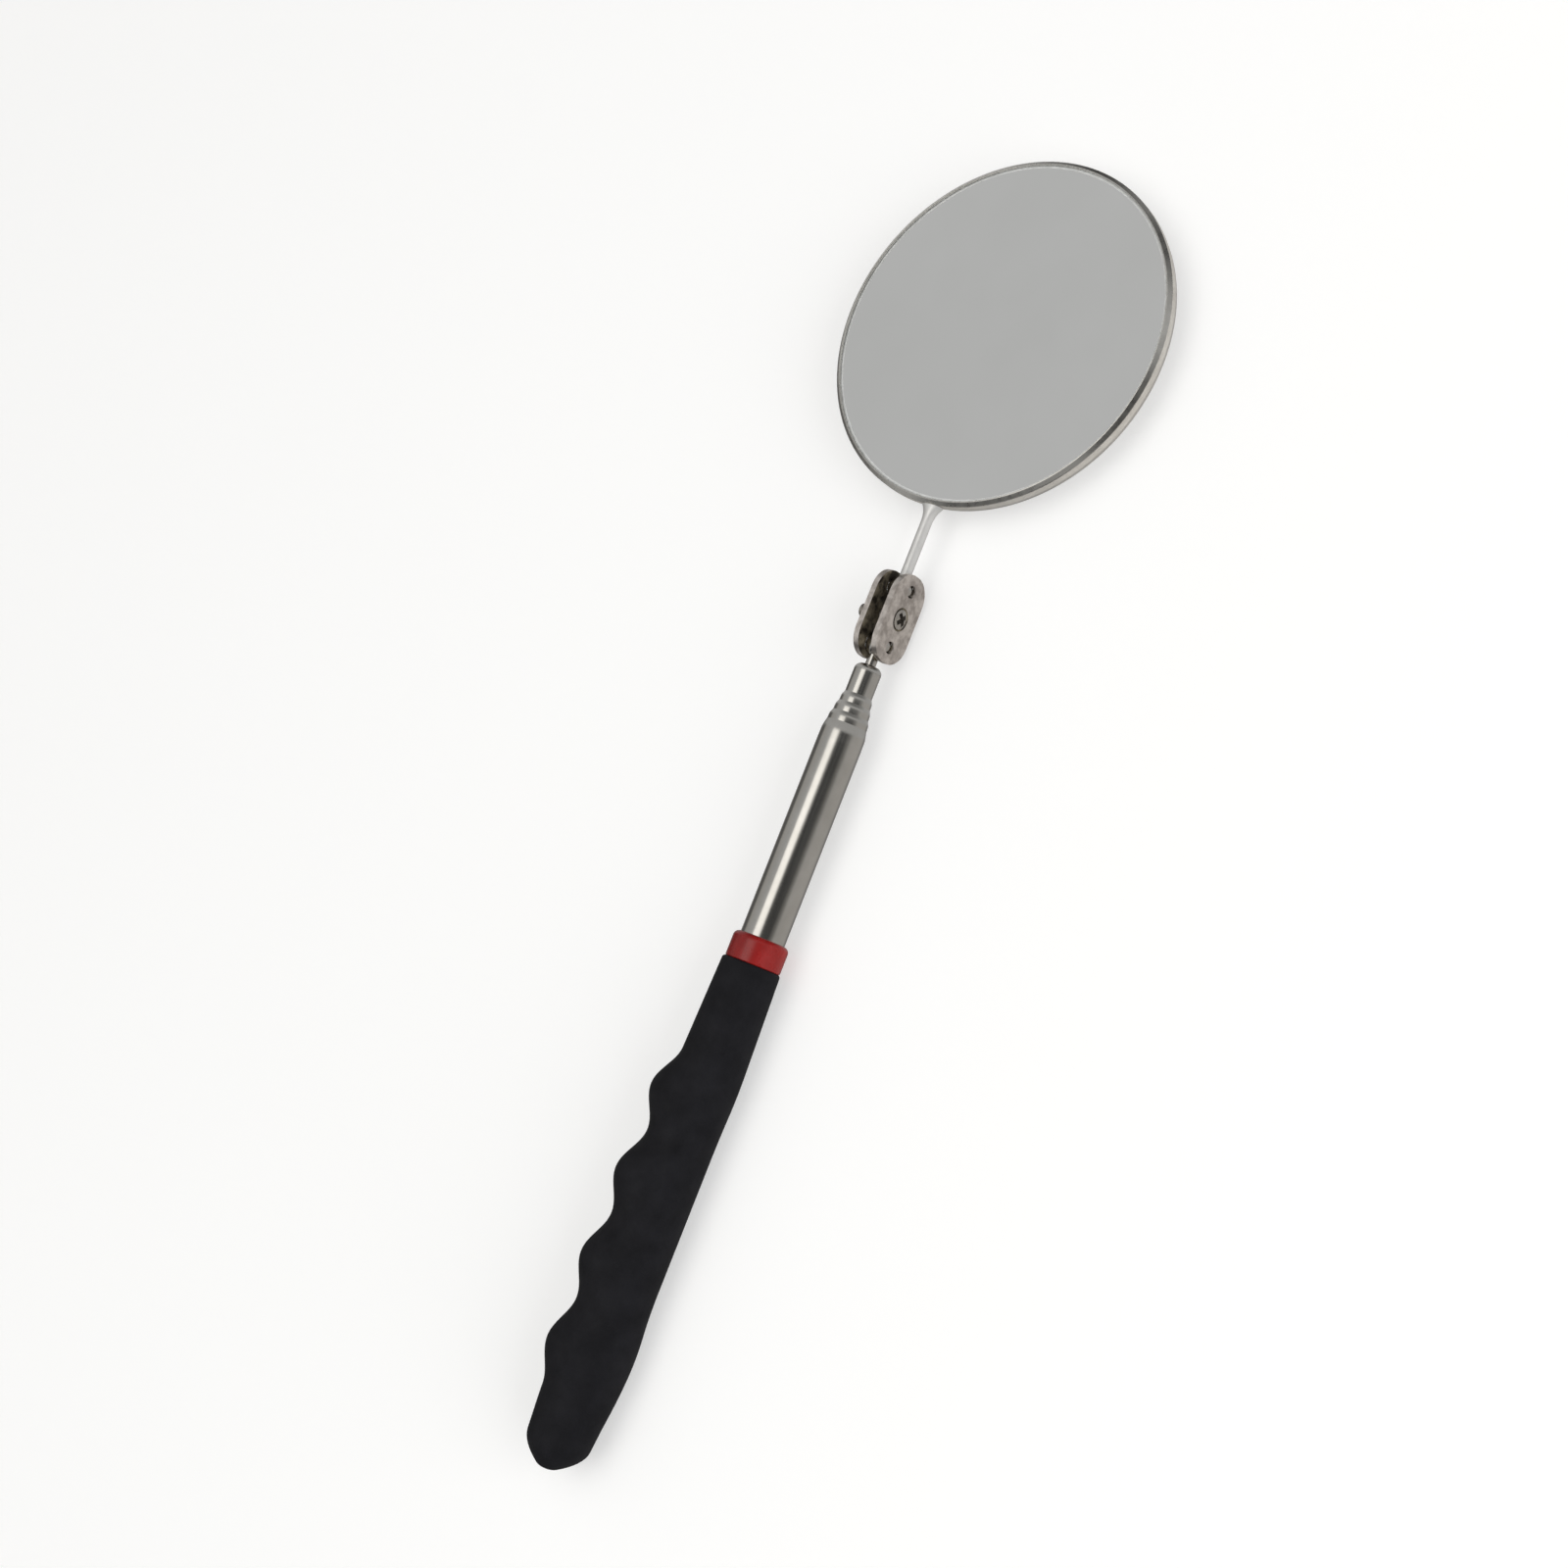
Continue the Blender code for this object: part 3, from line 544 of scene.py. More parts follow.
def mesh_object(name, shape, *looks):
    """Puts the shape in the scene, shaded smooth, with its looks."""
    mesh = bpy.data.meshes.new(name)
    shape.to_mesh(mesh)
    shape.free()
    for look in looks:
        mesh.materials.append(look)
    shade(mesh)
    obj = bpy.data.objects.new(name, mesh)
    bpy.context.scene.collection.objects.link(obj)
    return obj


def shade(mesh):
    mesh.shade_smooth()
    mesh.set_sharp_from_angle(angle=SHARP_ANGLE)


ALONG_TOOL = Vector((1, 0, 0))
ACROSS_TOOL = Vector((0, 1, 0))
UPRIGHT = Vector((0, 0, 1))


def circle(axis, centre, along, radius, sides):
    """A row of points round an axis; along is measured from the centre."""
    along, radius = float(along), float(radius)
    if radius <= 0:
        return [centre + along * axis]
    side = ALONG_TOOL if axis == UPRIGHT else UPRIGHT
    other = axis.cross(side)
    turns = [FULL_TURN * i / sides for i in range(sides)]
    return [centre + along * axis + radius * (math.cos(t) * side + math.sin(t) * other) for t in turns]


LONG_STRETCH = 0.9 * MM  # the shortest stretch that is braced
BRACE = 0.12 * MM  # from the stretch's ends


def braced(outline, ring):
    """The outline with a point near both ends of each long straight stretch, so that a
    rounded corner doesn't tilt the shading of the stretch beside it."""
    points = [np.array(p, float) for p in outline]
    made = []
    for i, start in enumerate(points):
        made.append(tuple(start))
        stretch = points[(i + 1) % len(points)] - start
        length = np.linalg.norm(stretch)
        if length > LONG_STRETCH and (ring or i < len(points) - 1):
            step = stretch * BRACE / length
            made += [tuple(start + step), tuple(start + stretch - step)]
    return made


def spun(name, outline, look, axis=ALONG_TOOL, centre=Vector((0, 0, AXIS_Z)), sides=SIDES, ring=False):
    """A turned piece from (along, radius) points."""
    rows = [circle(axis, centre, along, radius, sides) for along, radius in braced(outline, ring)]
    return lofted(name, rows, look, ring)


def settle(obj):
    """Makes the object's modifiers part of its mesh."""
    bpy.context.view_layer.update()
    graph = bpy.context.evaluated_depsgraph_get()
    mesh = bpy.data.meshes.new_from_object(obj.evaluated_get(graph))
    obj.modifiers.clear()
    obj.data = mesh
    shade(mesh)


def cut(obj, *cutters):
    """Cuts the shapes away from the object and removes them."""
    for tool in cutters:
        boolean = obj.modifiers.new(tool.name, "BOOLEAN")
        boolean.operation = "DIFFERENCE"
        boolean.solver = "EXACT"
        boolean.object = tool
    settle(obj)
    for tool in cutters:
        bpy.data.objects.remove(tool, do_unlink=True)


def ease_edges(obj, size, angle=30 * DEGREE, segments=3, look=-1):
    """Rounds the sharp edges. look is the material index of the rounded strips."""
    bevel = obj.modifiers.new("edges", "BEVEL")
    bevel.material = look
    bevel.width = size
    bevel.segments = segments
    bevel.limit_method = "ANGLE"
    bevel.angle_limit = angle
    settle(obj)


def stand_for(piece, node):
    """The piece takes the node's place, on its body."""
    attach(piece, BODY_OF[node])
    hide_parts(node)
    return piece


# -------- grip and ring

GRIP_LOW, GRIP_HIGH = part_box("grip")
GRIP_LENGTH = GRIP_HIGH.x - GRIP_LOW.x
GRIP_ROLL = 37 * DEGREE  # the finger side points this far up from +Y
GRIP_STEP = 0.7 * MM
FINGER_PITCH = 19.0 * MM
FIRST_FINGER = 25.3 * MM  # from the tail
FINGERS = 4
TAIL_LENGTH = 6.3 * MM  # the stretch over which the tail fills out
TAIL_MIDDLE = 1.8 * MM  # the tail's blunt tip is off centre, towards the fingers
TAIL_FINGER_SIDE = 3.6 * MM
TAIL_HALF_WIDTH = 1.9 * MM
TIP_ROUNDING = 0.5 * MM
GRIP_MOUTH = 0.7 * MM  # rounding of the grip's front edge
RING_FIT = 0.04 * MM
BORE_PAST_TUBE = 2 * MM  # how far the bore runs on behind the tube's tail
RING_GAP = 0.3 * MM  # the CAD's gap between grip and ring, closed here
RING_LAP = 0.02 * MM
RING_FRONT = 1.3 * MM  # rounding of the ring's front edge
RING_BACK = 0.3 * MM
BLEND = 4.0 * MM  # how far the outline's corners are smoothed along the grip

# The grip's outline at distances from its tail, in millimetres: the finger side
# between its swellings, the swellings' height, the palm side and the half width
FINGER_SIDE = ((0, 8.0), (11, 8.65), (16, 9.0), (35, 8.9), (55, 8.6), (92, 7.4), (113.3, 6.7))
FINGER_HEIGHT = ((0, 2.5), (113.3, 3.4))
PALM_SIDE = ((0, 5.3), (10, 6.1), (18, 7.15), (27, 7.7), (37, 6.9), (76, 7.0), (86, 7.35), (113.3, 6.45))
HALF_WIDTH = ((0, 5.8), (8, 6.6), (20, 7.4), (88, 7.4), (113.3, 6.7))


def outline_at(station, knots):
    """Reads one line of the grip's outline, with its corners smoothed."""
    stations, values = zip(*knots)
    reach = min(BLEND, station, GRIP_LENGTH - station)
    near = np.linspace(station - reach, station + reach, 9) / MM
    return float(np.interp(near, stations, values).mean()) * MM


def swelling(station):
    """How far the finger side swells out between the finger grooves."""
    along = (station - FIRST_FINGER) / FINGER_PITCH
    if not -0.5 < along < FINGERS - 0.5:
        return 0.0
    return outline_at(station, FINGER_HEIGHT) * (1 + math.cos(FULL_TURN * along)) / 2


def filled_out(station, at_tip, beyond):
    """Runs from a value at the tail's tip to the one that holds beyond the tail."""
    short = max(0.0, 1 - station / TAIL_LENGTH)
    return beyond + (at_tip - beyond) * short**2


def grip_row(station, shrink=0.0):
    """One cross-section, drawn in by shrink: two half ellipses that share their width."""
    middle = filled_out(station, TAIL_MIDDLE, 0)
    finger = outline_at(station, FINGER_SIDE) + swelling(station)
    finger = filled_out(station, TAIL_FINGER_SIDE, finger) - middle - shrink
    palm = filled_out(station, 0, outline_at(station, PALM_SIDE)) + middle - shrink
    width = filled_out(station, TAIL_HALF_WIDTH, outline_at(station, HALF_WIDTH)) - shrink
    row = []
    for i in range(SIDES):
        turn = FULL_TURN * i / SIDES
        depth = finger if math.cos(turn) > 0 else palm
        towards_fingers = middle + depth * math.cos(turn)
        across = width * math.sin(turn)
        y = towards_fingers * math.cos(GRIP_ROLL) - across * math.sin(GRIP_ROLL)
        z = towards_fingers * math.sin(GRIP_ROLL) + across * math.cos(GRIP_ROLL)
        row.append(Vector((GRIP_LOW.x + station, y, AXIS_Z + z)))
    return row


def bore_row(station, radius):
    """A round row whose points match those of the grip's cross-sections."""
    x = GRIP_LOW.x + station
    turns = [FULL_TURN * i / SIDES + GRIP_ROLL for i in range(SIDES)]
    return [Vector((x, radius * math.cos(t), AXIS_Z + radius * math.sin(t))) for t in turns]


def make_grip():
    """Dipped grip with four finger swellings, a rounded tail and a bore for the tube."""
    rows = []
    for turn in np.radians(np.linspace(0, 90, 9)):
        station = TIP_ROUNDING * (1 - math.sin(turn)) if turn else TIP_ROUNDING
        rows.insert(0, grip_row(station, shrink=TIP_ROUNDING * (1 - math.cos(turn))))
    tip = sum(rows[0], Vector()) / SIDES
    rows.insert(0, [tip])
    body_end = GRIP_LENGTH - GRIP_MOUTH
    steps = round((body_end - TIP_ROUNDING) / GRIP_STEP)
    rows += [grip_row(station) for station in np.linspace(TIP_ROUNDING, body_end, steps)[1:]]
    for turn in np.radians(np.linspace(0, 90, 7))[1:]:
        station = body_end + GRIP_MOUTH * math.sin(turn)
        rows.append(grip_row(station, shrink=GRIP_MOUTH * (1 - math.cos(turn))))
    bore = TUBE_HIGH.y + FIT
    bore_end = TUBE_LOW.x - GRIP_LOW.x - BORE_PAST_TUBE
    rows += [bore_row(GRIP_LENGTH, bore), bore_row(bore_end, bore)]
    rows.append([Vector((GRIP_LOW.x + bore_end, 0, AXIS_Z))])
    stand_for(lofted("grip_skin", rows, vinyl()), "grip")


def make_red_ring():
    """Glossy ring: full rounded front edge, small rounded back edge, close up to the grip."""
    low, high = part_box("red_ring")
    radius = high.y
    bore = TUBE_HIGH.y + RING_FIT
    tail = GRIP_HIGH.x - RING_LAP
    outline = (
        [(tail, bore), (tail, radius - RING_BACK)]
        + arc(low.x - RING_GAP + RING_BACK, radius - RING_BACK, RING_BACK, 180, 90, 5)[1:]
        + arc(high.x - RING_FRONT, radius - RING_FRONT, RING_FRONT, 90, 0)
        + [(high.x, bore + 0.1 * MM), (high.x - 0.1 * MM, bore)]
    )
    stand_for(spun("ring_shell", outline, red_plastic(), ring=True), "red_ring")


# -------- telescoping tubes

TUBE_WALL = 0.26 * MM
TUBE_EASE = 0.06 * MM  # rounding of the edges at a section's tail
NECK_EASE = 0.08 * MM  # and at both ends of the innermost section
OUTER_NOSE = 4.4 * MM
INNER_NOSE = 2.2 * MM
NOSE_SQUEEZE = 0.44 * MM  # how far the end of a crimped nose comes in
NOSE_EASE = 0.35 * MM
SHOULDER = 0.36  # share of the nose that slopes in steeply
SPIGOT_FIT = 0.1 * MM  # between the neck plug's spigot and the section
NECK_SEAT = 1.55 * MM  # the ball's radius less that of the neck plug's bore
PLUG_STEP = 0.05 * MM  # from the section's end to the neck plug's shoulder
PLUG_MOUTH = 0.25 * MM  # chamfer of the neck plug's bore


def tube_outline(low, high, radius, nose):
    """A thin tube whose nose is crimped in: a long easy curve, then a steeper shoulder."""
    crimp = [
        (high - nose, radius),
        (high - nose / 2, radius - 0.04 * MM),
        (high - SHOULDER * nose, radius - 0.10 * MM),
        (high, radius - NOSE_SQUEEZE),
    ]
    rolled = [crimp[0]] + eased(crimp, NOSE_EASE, steps=5)[1:]
    lip = rolled[-1][1]
    bore = radius - TUBE_WALL
    return (
        [(low, bore + TUBE_EASE), (low + TUBE_EASE, bore)]
        + [(high - nose, bore), (high - 0.3 * nose, lip - 0.12 * MM), (high, lip - 0.10 * MM)]
        + rolled[::-1]
        + [(low + TUBE_EASE, radius), (low, radius - TUBE_EASE)]
    )


def make_tubes():
    """The outer tube and the three sections with a crimped nose, then the neck."""
    chrome = tube_chrome()
    for node in ("outer_tube", "tube_2", "tube_3", "tube_4"):
        low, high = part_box(node)
        nose = OUTER_NOSE if node == "outer_tube" else INNER_NOSE
        outline = tube_outline(low.x, high.x, high.y, nose)
        stand_for(spun(f"{node}_shell", outline, chrome, ring=True), node)
    make_neck(chrome)


def make_neck(chrome):
    """The innermost section, and the domed plug that closes it round the ball's shank."""
    low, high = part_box("inner_tube")
    tube_end, radius = high.x, high.y
    bore = radius - TUBE_WALL
    square = [(low.x, bore), (tube_end, bore), (tube_end, radius), (low.x, radius)]
    outline = eased(square, NECK_EASE, ring=True)
    stand_for(spun("inner_tube_shell", outline, chrome, ring=True), "inner_tube")

    low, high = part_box("neck_plug")
    spigot = bore - SPIGOT_FIT
    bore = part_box("lower_ball_stud")[1].y - NECK_SEAT
    dome = high.x - tube_end
    step = tube_end + PLUG_STEP
    turns = np.radians(np.linspace(84, 0, 12))
    outline = (
        [(low.x, bore), (high.x - PLUG_MOUTH, bore), (high.x, bore + PLUG_MOUTH)]
        + [(tube_end + dome * math.sin(t), radius - dome + dome * math.cos(t)) for t in turns]
        + [(step, radius), (step, spigot), (low.x, spigot)]
    )
    stand_for(spun("neck_end", outline, chrome, ring=True), "neck_plug")


# -------- the clamp

STUD_RADIUS = 1.2 * MM
STUD_FLANGE = (1.9 * MM, 1.2 * MM)  # radius and thickness
STEM_RADIUS = 1.25 * MM
PLATE_CORNER = 5.3 * MM
PLATE_EDGE = 0.22 * MM
SEAT_HOLE_RADIUS = 1.3 * MM
SEAT_CLEARANCE = 0.12 * MM
THREAD_PITCH = 0.5 * MM
THREAD_DEPTH = 0.27 * MM
THREAD_STEPS = 8  # rows a turn
THREAD_FADE_IN, THREAD_FADE_OUT = 1.5, 1  # turns
SCREW_RADIUS = 1.5 * MM
SCREW_HOLE_RADIUS = 1.62 * MM
SCREW_POINT = 0.3 * MM  # length of the chamfer at the screw's tail
COUNTERSINK_RADIUS = 2.7 * MM
COUNTERSINK_BOTTOM = 1.6 * MM
HEAD_DEPTH = 0.9 * MM
HEAD_RADIUS = 2.2 * MM
HEAD_DOME = 0.4 * MM
DOME_SHARE = 0.93  # of the head's radius that the dome covers
DOME_TURN = 1.0  # radians from the dome's top to its edge
RECESS_ABOVE, RECESS_DEPTH = 0.3 * MM, 0.95 * MM  # from the top of the dome
RECESS_TOP = (2.05 * MM, 0.62 * MM)  # half the length and width of a recess arm
RECESS_BOTTOM = (0.9 * MM, 0.34 * MM)
RECESS_REACH = 1.9 * MM  # how far out from the axis the recess's painted shade reaches
NUT_FLAT_SHARE = 0.96  # of the nut's half width that its faces stay flat
NUT_MOUTH = 0.2 * MM  # chamfer of the nut's bore
BALL_POINTS = 40
BALL_NECK = 0.25 * MM  # from the lower ball's end to its shank
SHANK_EASE = 0.12 * MM
QUARTER_POINTS = 13


def ball_facts(node):
    """The middle and radius of the ball that a node carries."""
    low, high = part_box(node)
    radius = (high.z - low.z) / 2
    if node == "lower_ball_stud":
        return Vector((high.x - radius, 0, AXIS_Z)), radius
    return Vector((low.x + radius, 0, AXIS_Z)), radius


LOWER_BALL, BALL_RADIUS = ball_facts("lower_ball_stud")
UPPER_BALL = ball_facts("upper_ball")[0]
CLAMP_MIDDLE = (LOWER_BALL + UPPER_BALL) / 2


def make_balls():
    """The lower ball with its shank and flange, and the upper ball, bored for the stem."""
    steel = ball_steel()
    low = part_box("lower_ball_stud")[0]
    meets = math.degrees(math.asin(STUD_RADIUS / BALL_RADIUS))
    flange, thickness = STUD_FLANGE
    shank = [
        (LOWER_BALL.x - BALL_RADIUS - BALL_NECK, STUD_RADIUS),
        (low.x + thickness, STUD_RADIUS),
        (low.x + thickness, flange),
        (low.x, flange),
        (low.x, 0),
    ]
    outline = arc(LOWER_BALL.x, 0, BALL_RADIUS, 0, 180 - meets, BALL_POINTS)
    outline += eased(shank, SHANK_EASE)
    outline[0] = (LOWER_BALL.x + BALL_RADIUS, 0)
    stand_for(spun("lower_ball", outline, steel), "lower_ball_stud")

    bore = STEM_RADIUS + FIT
    mouth = math.degrees(math.asin(bore / BALL_RADIUS))
    outline = arc(UPPER_BALL.x, 0, BALL_RADIUS, 180, mouth, BALL_POINTS)
    outline[0] = (UPPER_BALL.x - BALL_RADIUS, 0)
    outline += [(UPPER_BALL.x, bore), (UPPER_BALL.x, 0)]
    stand_for(spun("upper_ball_shell", outline, steel), "upper_ball")


def rounded_plate(length, width, low_y, high_y):
    """A plate with quarter-round corners, between two heights across the tool."""
    points = []
    for quarter, (sx, sz) in enumerate(((1, 1), (-1, 1), (-1, -1), (1, -1))):
        x, z = sx * (length / 2 - PLATE_CORNER), sz * (width / 2 - PLATE_CORNER)
        for turn in np.radians(90 * quarter + np.linspace(0, 90, QUARTER_POINTS)):
            points.append((x + PLATE_CORNER * math.cos(turn), z + PLATE_CORNER * math.sin(turn)))
    shape = bmesh.new()
    rows = [
        [shape.verts.new((CLAMP_MIDDLE.x + x, y, AXIS_Z + z)) for x, z in points]
        for y in (low_y, high_y)
    ]
    for i in range(len(points)):
        j = (i + 1) % len(points)
        shape.faces.new((rows[0][i], rows[0][j], rows[1][j], rows[1][i]))
    for row in rows:
        shape.faces.new(row)
    bmesh.ops.recalc_face_normals(shape, faces=shape.faces)
    return shape


def cutter(name, outline, centre):
    """A turned cutter about an axis across the tool."""
    return spun(name, outline, None, ACROSS_TOOL, centre, CLAMP_SIDES)


def facing(outward, outline):
    """Turns an outline whose positive side is outside towards the plate's outer face."""
    return [(outward * along, radius) for along, radius in outline]


def seat_tools(outer, outward):
    """Cutters for one plate: two ball seats, the eased holes behind them, the screw's hole."""
    tools = []
    seat = BALL_RADIUS + SEAT_CLEARANCE
    through = 6 * MM
    rim = [
        (0.4 * MM, 0),
        (0.4 * MM, SEAT_HOLE_RADIUS + 0.55 * MM),
        (-0.15 * MM, SEAT_HOLE_RADIUS),
        (-2 * MM, SEAT_HOLE_RADIUS),
        (-2 * MM, 0),
    ]
    for ball in (LOWER_BALL, UPPER_BALL):
        outline = arc(0, 0, seat, 0, 180, 49)
        outline[0], outline[-1] = (seat, 0), (-seat, 0)
        tools.append(cutter("seat", outline, ball))
        face = ball + Vector((0, outer * outward, 0))
        tools.append(cutter("rim", facing(outward, rim), face))
    hole = SCREW_HOLE_RADIUS
    outline = [(-through, 0), (-through, hole), (through, hole), (through, 0)]
    tools.append(cutter("hole", outline, CLAMP_MIDDLE))
    return tools


def make_plate(node, outward, looks):
    """One stamped plate. outward is -1 for the screw head's side and 1 for the nut's."""
    low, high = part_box(node)
    length, width = high.x - low.x, high.z - low.z
    blank = rounded_plate(length, width, low.y, high.y)
    plate = mesh_object(f"{node}_stamping", blank, *looks)
    outer = max(abs(low.y), abs(high.y))
    inner = min(abs(low.y), abs(high.y))
    tools = seat_tools(outer, outward)
    if outward < 0:
        sink = [
            (0.5 * MM, 0),
            (0.5 * MM, COUNTERSINK_RADIUS + 0.3 * MM),
            (0, COUNTERSINK_RADIUS),
            (-HEAD_DEPTH, COUNTERSINK_BOTTOM),
            (-HEAD_DEPTH, 0),
        ]
        face = CLAMP_MIDDLE + Vector((0, outer * outward, 0))
        tools.append(cutter("countersink", facing(outward, sink), face))
    cut(plate, *tools)
    ease_edges(plate, PLATE_EDGE, look=2)
    # The inner side and the insides of the holes take the second look, painted shade for the gap between
    # the plates and the holes
    for face in plate.data.polygons:
        depth = outer - abs(face.center.y)
        in_hole = depth > 0.3 * MM and abs(face.center.z - AXIS_Z) < width / 3
        at_end = abs(face.center.x - CLAMP_MIDDLE.x) > length / 2 - 1 * MM
        if depth > outer - inner - 0.02 * MM or (in_hole and not at_end):
            face.material_index = 1
    stand_for(plate, node)


def thread_rows(start, end):
    """Rows of a screw thread about the clamp's cross axis, a triangle in section."""
    rows = []
    for y in np.arange(start, end, THREAD_PITCH / THREAD_STEPS):
        fade_in = (y - start) / (THREAD_FADE_IN * THREAD_PITCH)
        fade_out = (end - y) / (THREAD_FADE_OUT * THREAD_PITCH)
        row = []
        for i in range(CLAMP_SIDES):
            phase = (y / THREAD_PITCH - i / CLAMP_SIDES) % 1
            depth = THREAD_DEPTH * min(1.0, fade_in, fade_out) * abs(2 * phase - 1)
            turn = FULL_TURN * i / CLAMP_SIDES
            radius = SCREW_RADIUS - depth
            row.append(CLAMP_MIDDLE + Vector((radius * math.sin(turn), y, radius * math.cos(turn))))
        rows.append(row)
    return rows


def make_screw(look, painted_shade_look):
    """Raised countersunk screw with a tapered cross recess in painted shade and a full thread."""
    low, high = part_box("clamp_screw")
    face_y = low.y + HEAD_DOME
    sink_y = face_y + HEAD_DEPTH
    tail = high.y - SCREW_POINT
    head = []
    for turn in np.linspace(0, DOME_TURN, 9):
        drop = HEAD_DOME * (1 - math.cos(turn)) / (1 - math.cos(DOME_TURN))
        head.append((low.y + drop, DOME_SHARE * HEAD_RADIUS * math.sin(turn) / math.sin(DOME_TURN)))
    head += [
        (face_y + 0.03 * MM, HEAD_RADIUS),
        (face_y + 0.12 * MM, HEAD_RADIUS - 0.02 * MM),
        (sink_y, SCREW_RADIUS + 0.02 * MM),
    ]
    point = [(tail, SCREW_RADIUS - 0.05 * MM), (high.y, SCREW_RADIUS - 0.4 * MM), (high.y, 0)]
    rows = [circle(ACROSS_TOOL, CLAMP_MIDDLE, *place, CLAMP_SIDES) for place in head]
    rows += thread_rows(sink_y + 0.1 * MM, tail)
    rows += [circle(ACROSS_TOOL, CLAMP_MIDDLE, *place, CLAMP_SIDES) for place in point]
    screw = lofted("cross_screw", rows, look)
    cut(screw, *(recess_arm(low.y, turn) for turn in (45 * DEGREE, 135 * DEGREE)))
    ease_edges(screw, 0.05 * MM, angle=50 * DEGREE, segments=2)
    screw.data.materials.append(painted_shade_look)
    # faces inside the recess take the second look, painted shade
    for face in screw.data.polygons:
        off_axis = Vector((face.center.x - CLAMP_MIDDLE.x, face.center.z - AXIS_Z)).length
        in_head = face.center.y < sink_y and off_axis < RECESS_REACH
        sunk = face.center.y > low.y + 0.3 * MM
        upright = abs(face.normal.y) < 0.8
        face.material_index = int(in_head and (sunk or upright))
    stand_for(screw, "clamp_screw")


def recess_arm(top, turn):
    """One arm of the cross recess: a wedge that narrows downwards."""
    shape = bmesh.new()
    bmesh.ops.create_cube(shape, size=2)
    for vertex in shape.verts:
        deep = vertex.co.y > 0
        half_length, half_width = RECESS_BOTTOM if deep else RECESS_TOP
        vertex.co.x *= half_length
        vertex.co.z *= half_width
        vertex.co.y = top + (RECESS_DEPTH if deep else -RECESS_ABOVE)
    spin = Matrix.Rotation(turn, 3, "Y")
    bmesh.ops.rotate(shape, verts=shape.verts, cent=(0, 0, 0), matrix=spin)
    bmesh.ops.translate(shape, verts=shape.verts, vec=(CLAMP_MIDDLE.x, 0, AXIS_Z))
    return mesh_object("recess", shape)


def make_nut(look):
    """Hexagonal nut with its corners chamfered off on both sides."""
    low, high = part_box("clamp_nut")
    flats = (high.x - low.x) / 2
    chamfer_start = NUT_FLAT_SHARE * flats
    slope = math.tan(30 * DEGREE)
    bore = SCREW_RADIUS + FIT
    middle, half = (low.y + high.y) / 2, (high.y - low.y) / 2
    rows = [[] for _ in range(6)]
    for i in range(SIDES):
        turn = FULL_TURN * i / SIDES
        corner = flats / math.cos((turn + 30 * DEGREE) % (60 * DEGREE) - 30 * DEGREE)
        drop = (corner - chamfer_start) * slope
        section = (
            (-half, bore + NUT_MOUTH),
            (-half, chamfer_start),
            (drop - half, corner),
            (half - drop, corner),
            (half, chamfer_start),
            (half, bore + NUT_MOUTH),
        )
        for row, (along, radius) in zip(rows, section):
            across = Vector((radius * math.cos(turn), middle + along, radius * math.sin(turn)))
            row.append(CLAMP_MIDDLE + across)
    inside = half - NUT_MOUTH
    rows += [round_row_like(rows[0], middle + side * inside, bore) for side in (1, -1)]
    stand_for(lofted("hex_nut", rows, look, ring=True), "clamp_nut")


def round_row_like(row, y, radius):
    """A round row about the clamp's cross axis whose points match another row's."""
    made = []
    for point in row:
        side = Vector((point.x - CLAMP_MIDDLE.x, 0, point.z - CLAMP_MIDDLE.z)).normalized()
        made.append(CLAMP_MIDDLE + radius * side + Vector((0, y, 0)))
    return made


def make_clamp():
    """Two plates with the looks of their outsides, insides and edges, the screw, the nut."""
    # the plates' second look and the screw's recess look are painted shade
    outer_look, painted_shade_look, steel = plate_steel(), shaded_inner_steel(), screw_steel()
    plate_looks = (outer_look, painted_shade_look, rubbed_steel())
    make_plate("clamp_plate_front", -1, plate_looks)
    make_plate("clamp_plate_rear", 1, plate_looks)
    make_screw(steel, recess_painted_shade())
    make_nut(steel)


# -------- the mirror head

STEM_SIDES = 48
STEM_END_EASE = 0.1 * MM
FOOT_LENGTH = 4.2 * MM
FOOT_SPREAD = 2.5  # power by which the wire widens along the foot
FOOT_SINK = 0.25 * MM  # how far the foot runs on to the bezel's wall
BEZEL_TOP, BEZEL_BOTTOM = BEZEL_HIGH.z - AXIS_Z, BEZEL_LOW.z - AXIS_Z
BEZEL_WALL = 0.5 * MM
BEZEL_EASE = 0.13 * MM
BEZEL_SLOPE = (0.88 * MM, 0.76 * MM)  # how far the rolled edge comes in and drops
LIP_REACH = 1.1 * MM  # width of the bezel in front of the glass
LIP_GAP = 0.1 * MM  # between the lip and the glass
GROUND_EDGE = (0.9 * MM, 0.12 * MM)  # width and drop of the glass's ground edge
GLASS_EASE = 0.05 * MM
COVER_WALL = 0.55 * MM
COVER_FLOOR = 0.65 * MM
COVER_EDGE = 0.42 * MM  # rounding of the cover's outer edge
COVER_STEP_RADIUS = 33 * MM
COVER_STEP_DEPTH = 0.18 * MM


